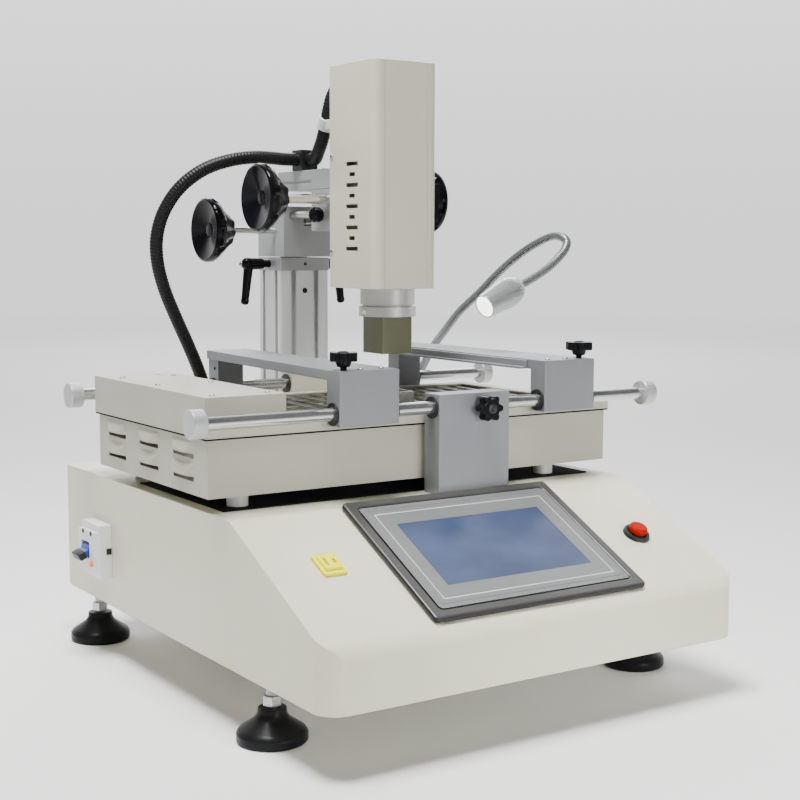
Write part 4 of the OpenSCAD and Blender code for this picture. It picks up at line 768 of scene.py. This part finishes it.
first_line = run_through(first_route, rib_step)[0]
crest = min(range(len(first_line)), key=lambda k: (first_line[k] - Vector(crest_spot)).length)
crest -= crest % len(ribs)
for name, line, bodies in (("conduit_rise", first_line[:crest + 1], ("base", "post")),
                           ("conduit_sweep", first_line[crest:], ("post", "arm"))):
    hose = ribbed(name, line, hose_d / 2, ribs, hose_sides)
    hose.data.materials.append(hose_skin)
    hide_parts("conduit_lower")
    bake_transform(hose)

head_gland_x, head_gland_z = 0.013, 0.572
head_gland_y = head_high[1] + 0.005
band_spot = (0, 0.12, 0.531)
second_route = [(clip_mid.x, clip_low[1] - end_gap, clip_z), (clip_mid.x, clip_low[1] - 0.006, clip_z),
                (clip_mid.x, clip_low[1] - 0.012, clip_z), (0.003, 0.139, 0.506), (0.001, 0.128, 0.517),
                band_spot, (0.001, 0.116, 0.545), (0.004, 0.115, 0.557), (0.009, 0.1135, 0.567),
                (head_gland_x, head_gland_y + 0.008, head_gland_z),
                (head_gland_x, head_gland_y + 0.004, head_gland_z),
                (head_gland_x, head_gland_y + end_gap, head_gland_z)]
second_line, second_length = run_through(second_route, rib_step)
hose = ribbed("conduit_top", second_line, hose_d / 2, ribs, hose_sides)
hose.data.materials.append(hose_skin)
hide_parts("conduit_upper")
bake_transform(hose)

# Hose clamp: a pale plastic band round the hose, moulded with a flat foot that is fixed on the head's back
# plate.
band_way = (0.001, -0.0085, 0.014)
white_plastic = finish("white_plastic", light=(0.7, 0.7, 0.69), dark=(0.64, 0.64, 0.63),
                       rough=0.4, grain=0.0006, bump=0.08)
set_out(turned("hose_band", [(0.0072, -0.0058), (0.0084, -0.006), (0.009, -0.0054), (0.009, 0.0054),
                             (0.0084, 0.006), (0.0072, 0.0058), (0.0072, -0.0058)], steps=36),
        [(band_spot, band_way)], "head", white_plastic)
foot_x, foot_y, foot_z, foot_ease = (-0.0055, 0.0035), (head_high[1] - 0.001, 0.1135), (0.524, 0.534), 0.0008
bar("hose_foot", (foot_x[0], foot_y[0], foot_z[0]), (foot_x[1], foot_y[1], foot_z[1]), foot_ease,
    "head", white_plastic)

# Work lamp: a ribbed satin steel gooseneck in a turned socket on the cabinet, a satin plated bell and a
# frosted lens that glows.
eased("lamp_socket", "lamp_foot", ease=0.0004, coat=chrome)
neck_steel = finish("neck_steel", light=(0.26, 0.268, 0.272), dark=(0.19, 0.197, 0.2),
                    rough=0.32, grain=0.0006, bump=0.04, metal=0.6)
foot_low, foot_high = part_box("lamp_socket")
neck_x, neck_y, neck_z = (foot_low[0] + foot_high[0]) / 2, (foot_low[1] + foot_high[1]) / 2, foot_high[2]
neck_r, neck_step, neck_sides, neck_rings = 0.0047, 0.0006, 16, (0.95, 0.985, 1.0, 0.985)
lamp_from, lamp_to = Vector((0.1735, 0.016, 0.367)), Vector((0.1195, 0.008, 0.3455))
lamp_way = (lamp_to - lamp_from).normalized()
neck_route = [(neck_x, neck_y, neck_z + end_gap), (neck_x, neck_y, neck_z + 0.007),
              (neck_x, neck_y, neck_z + 0.014), (0.168, 0.2105, 0.235), (0.18, 0.208, 0.264),
              (0.193, 0.203, 0.2905), (0.2065, 0.196, 0.3115), (0.216, 0.182, 0.3325), (0.226, 0.159, 0.354),
              (0.2325, 0.132, 0.377), (0.239, 0.108, 0.395), (0.244, 0.084, 0.4085), (0.249, 0.059, 0.418),
              (0.251, 0.043, 0.417), (0.2515, 0.036, 0.411), (0.242, 0.031, 0.4005), (0.219, 0.026, 0.3855),
              lamp_from - 0.02 * lamp_way, lamp_from - 0.01 * lamp_way, lamp_from - end_gap * lamp_way]
neck_line = run_through(neck_route, neck_step)[0]
neck = ribbed("lamp_neck", neck_line, neck_r, neck_rings, neck_sides)
neck.data.materials.append(neck_steel)
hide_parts("gooseneck")
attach(neck, "base")
bell_satin = finish("bell_satin", light=(0.46, 0.47, 0.47), dark=(0.38, 0.39, 0.39),
                    rough=0.2, grain=0.0005, bump=0.05, metal=0.55)
eased("lamp_head", "lamp_bell", ease=0.0004, coat=bell_satin)
lens_glow = finish("lens_glow", light=(0.92, 0.92, 0.9), dark=(0.88, 0.88, 0.86),
                   rough=0.25, grain=0.0012, bump=0.05)
lens_shader = lens_glow.node_tree.nodes["Principled BSDF"]
lens_shader.inputs["Emission Color"].default_value = (1.0, 1.0, 0.97, 1)
lens_shader.inputs["Emission Strength"].default_value = 4.0
lens_in = 0.004
lens_spot = lamp_from + ((lamp_to - lamp_from).length - lens_in) * lamp_way
set_out(turned("lamp_lens", [(0.0108, -0.003), (0.0108, 0.0022), (0.0098, 0.0032), (0.006, 0.004),
                             (0, 0.0042)], steps=40),
        [(lens_spot, lamp_way)], "base", lens_glow)
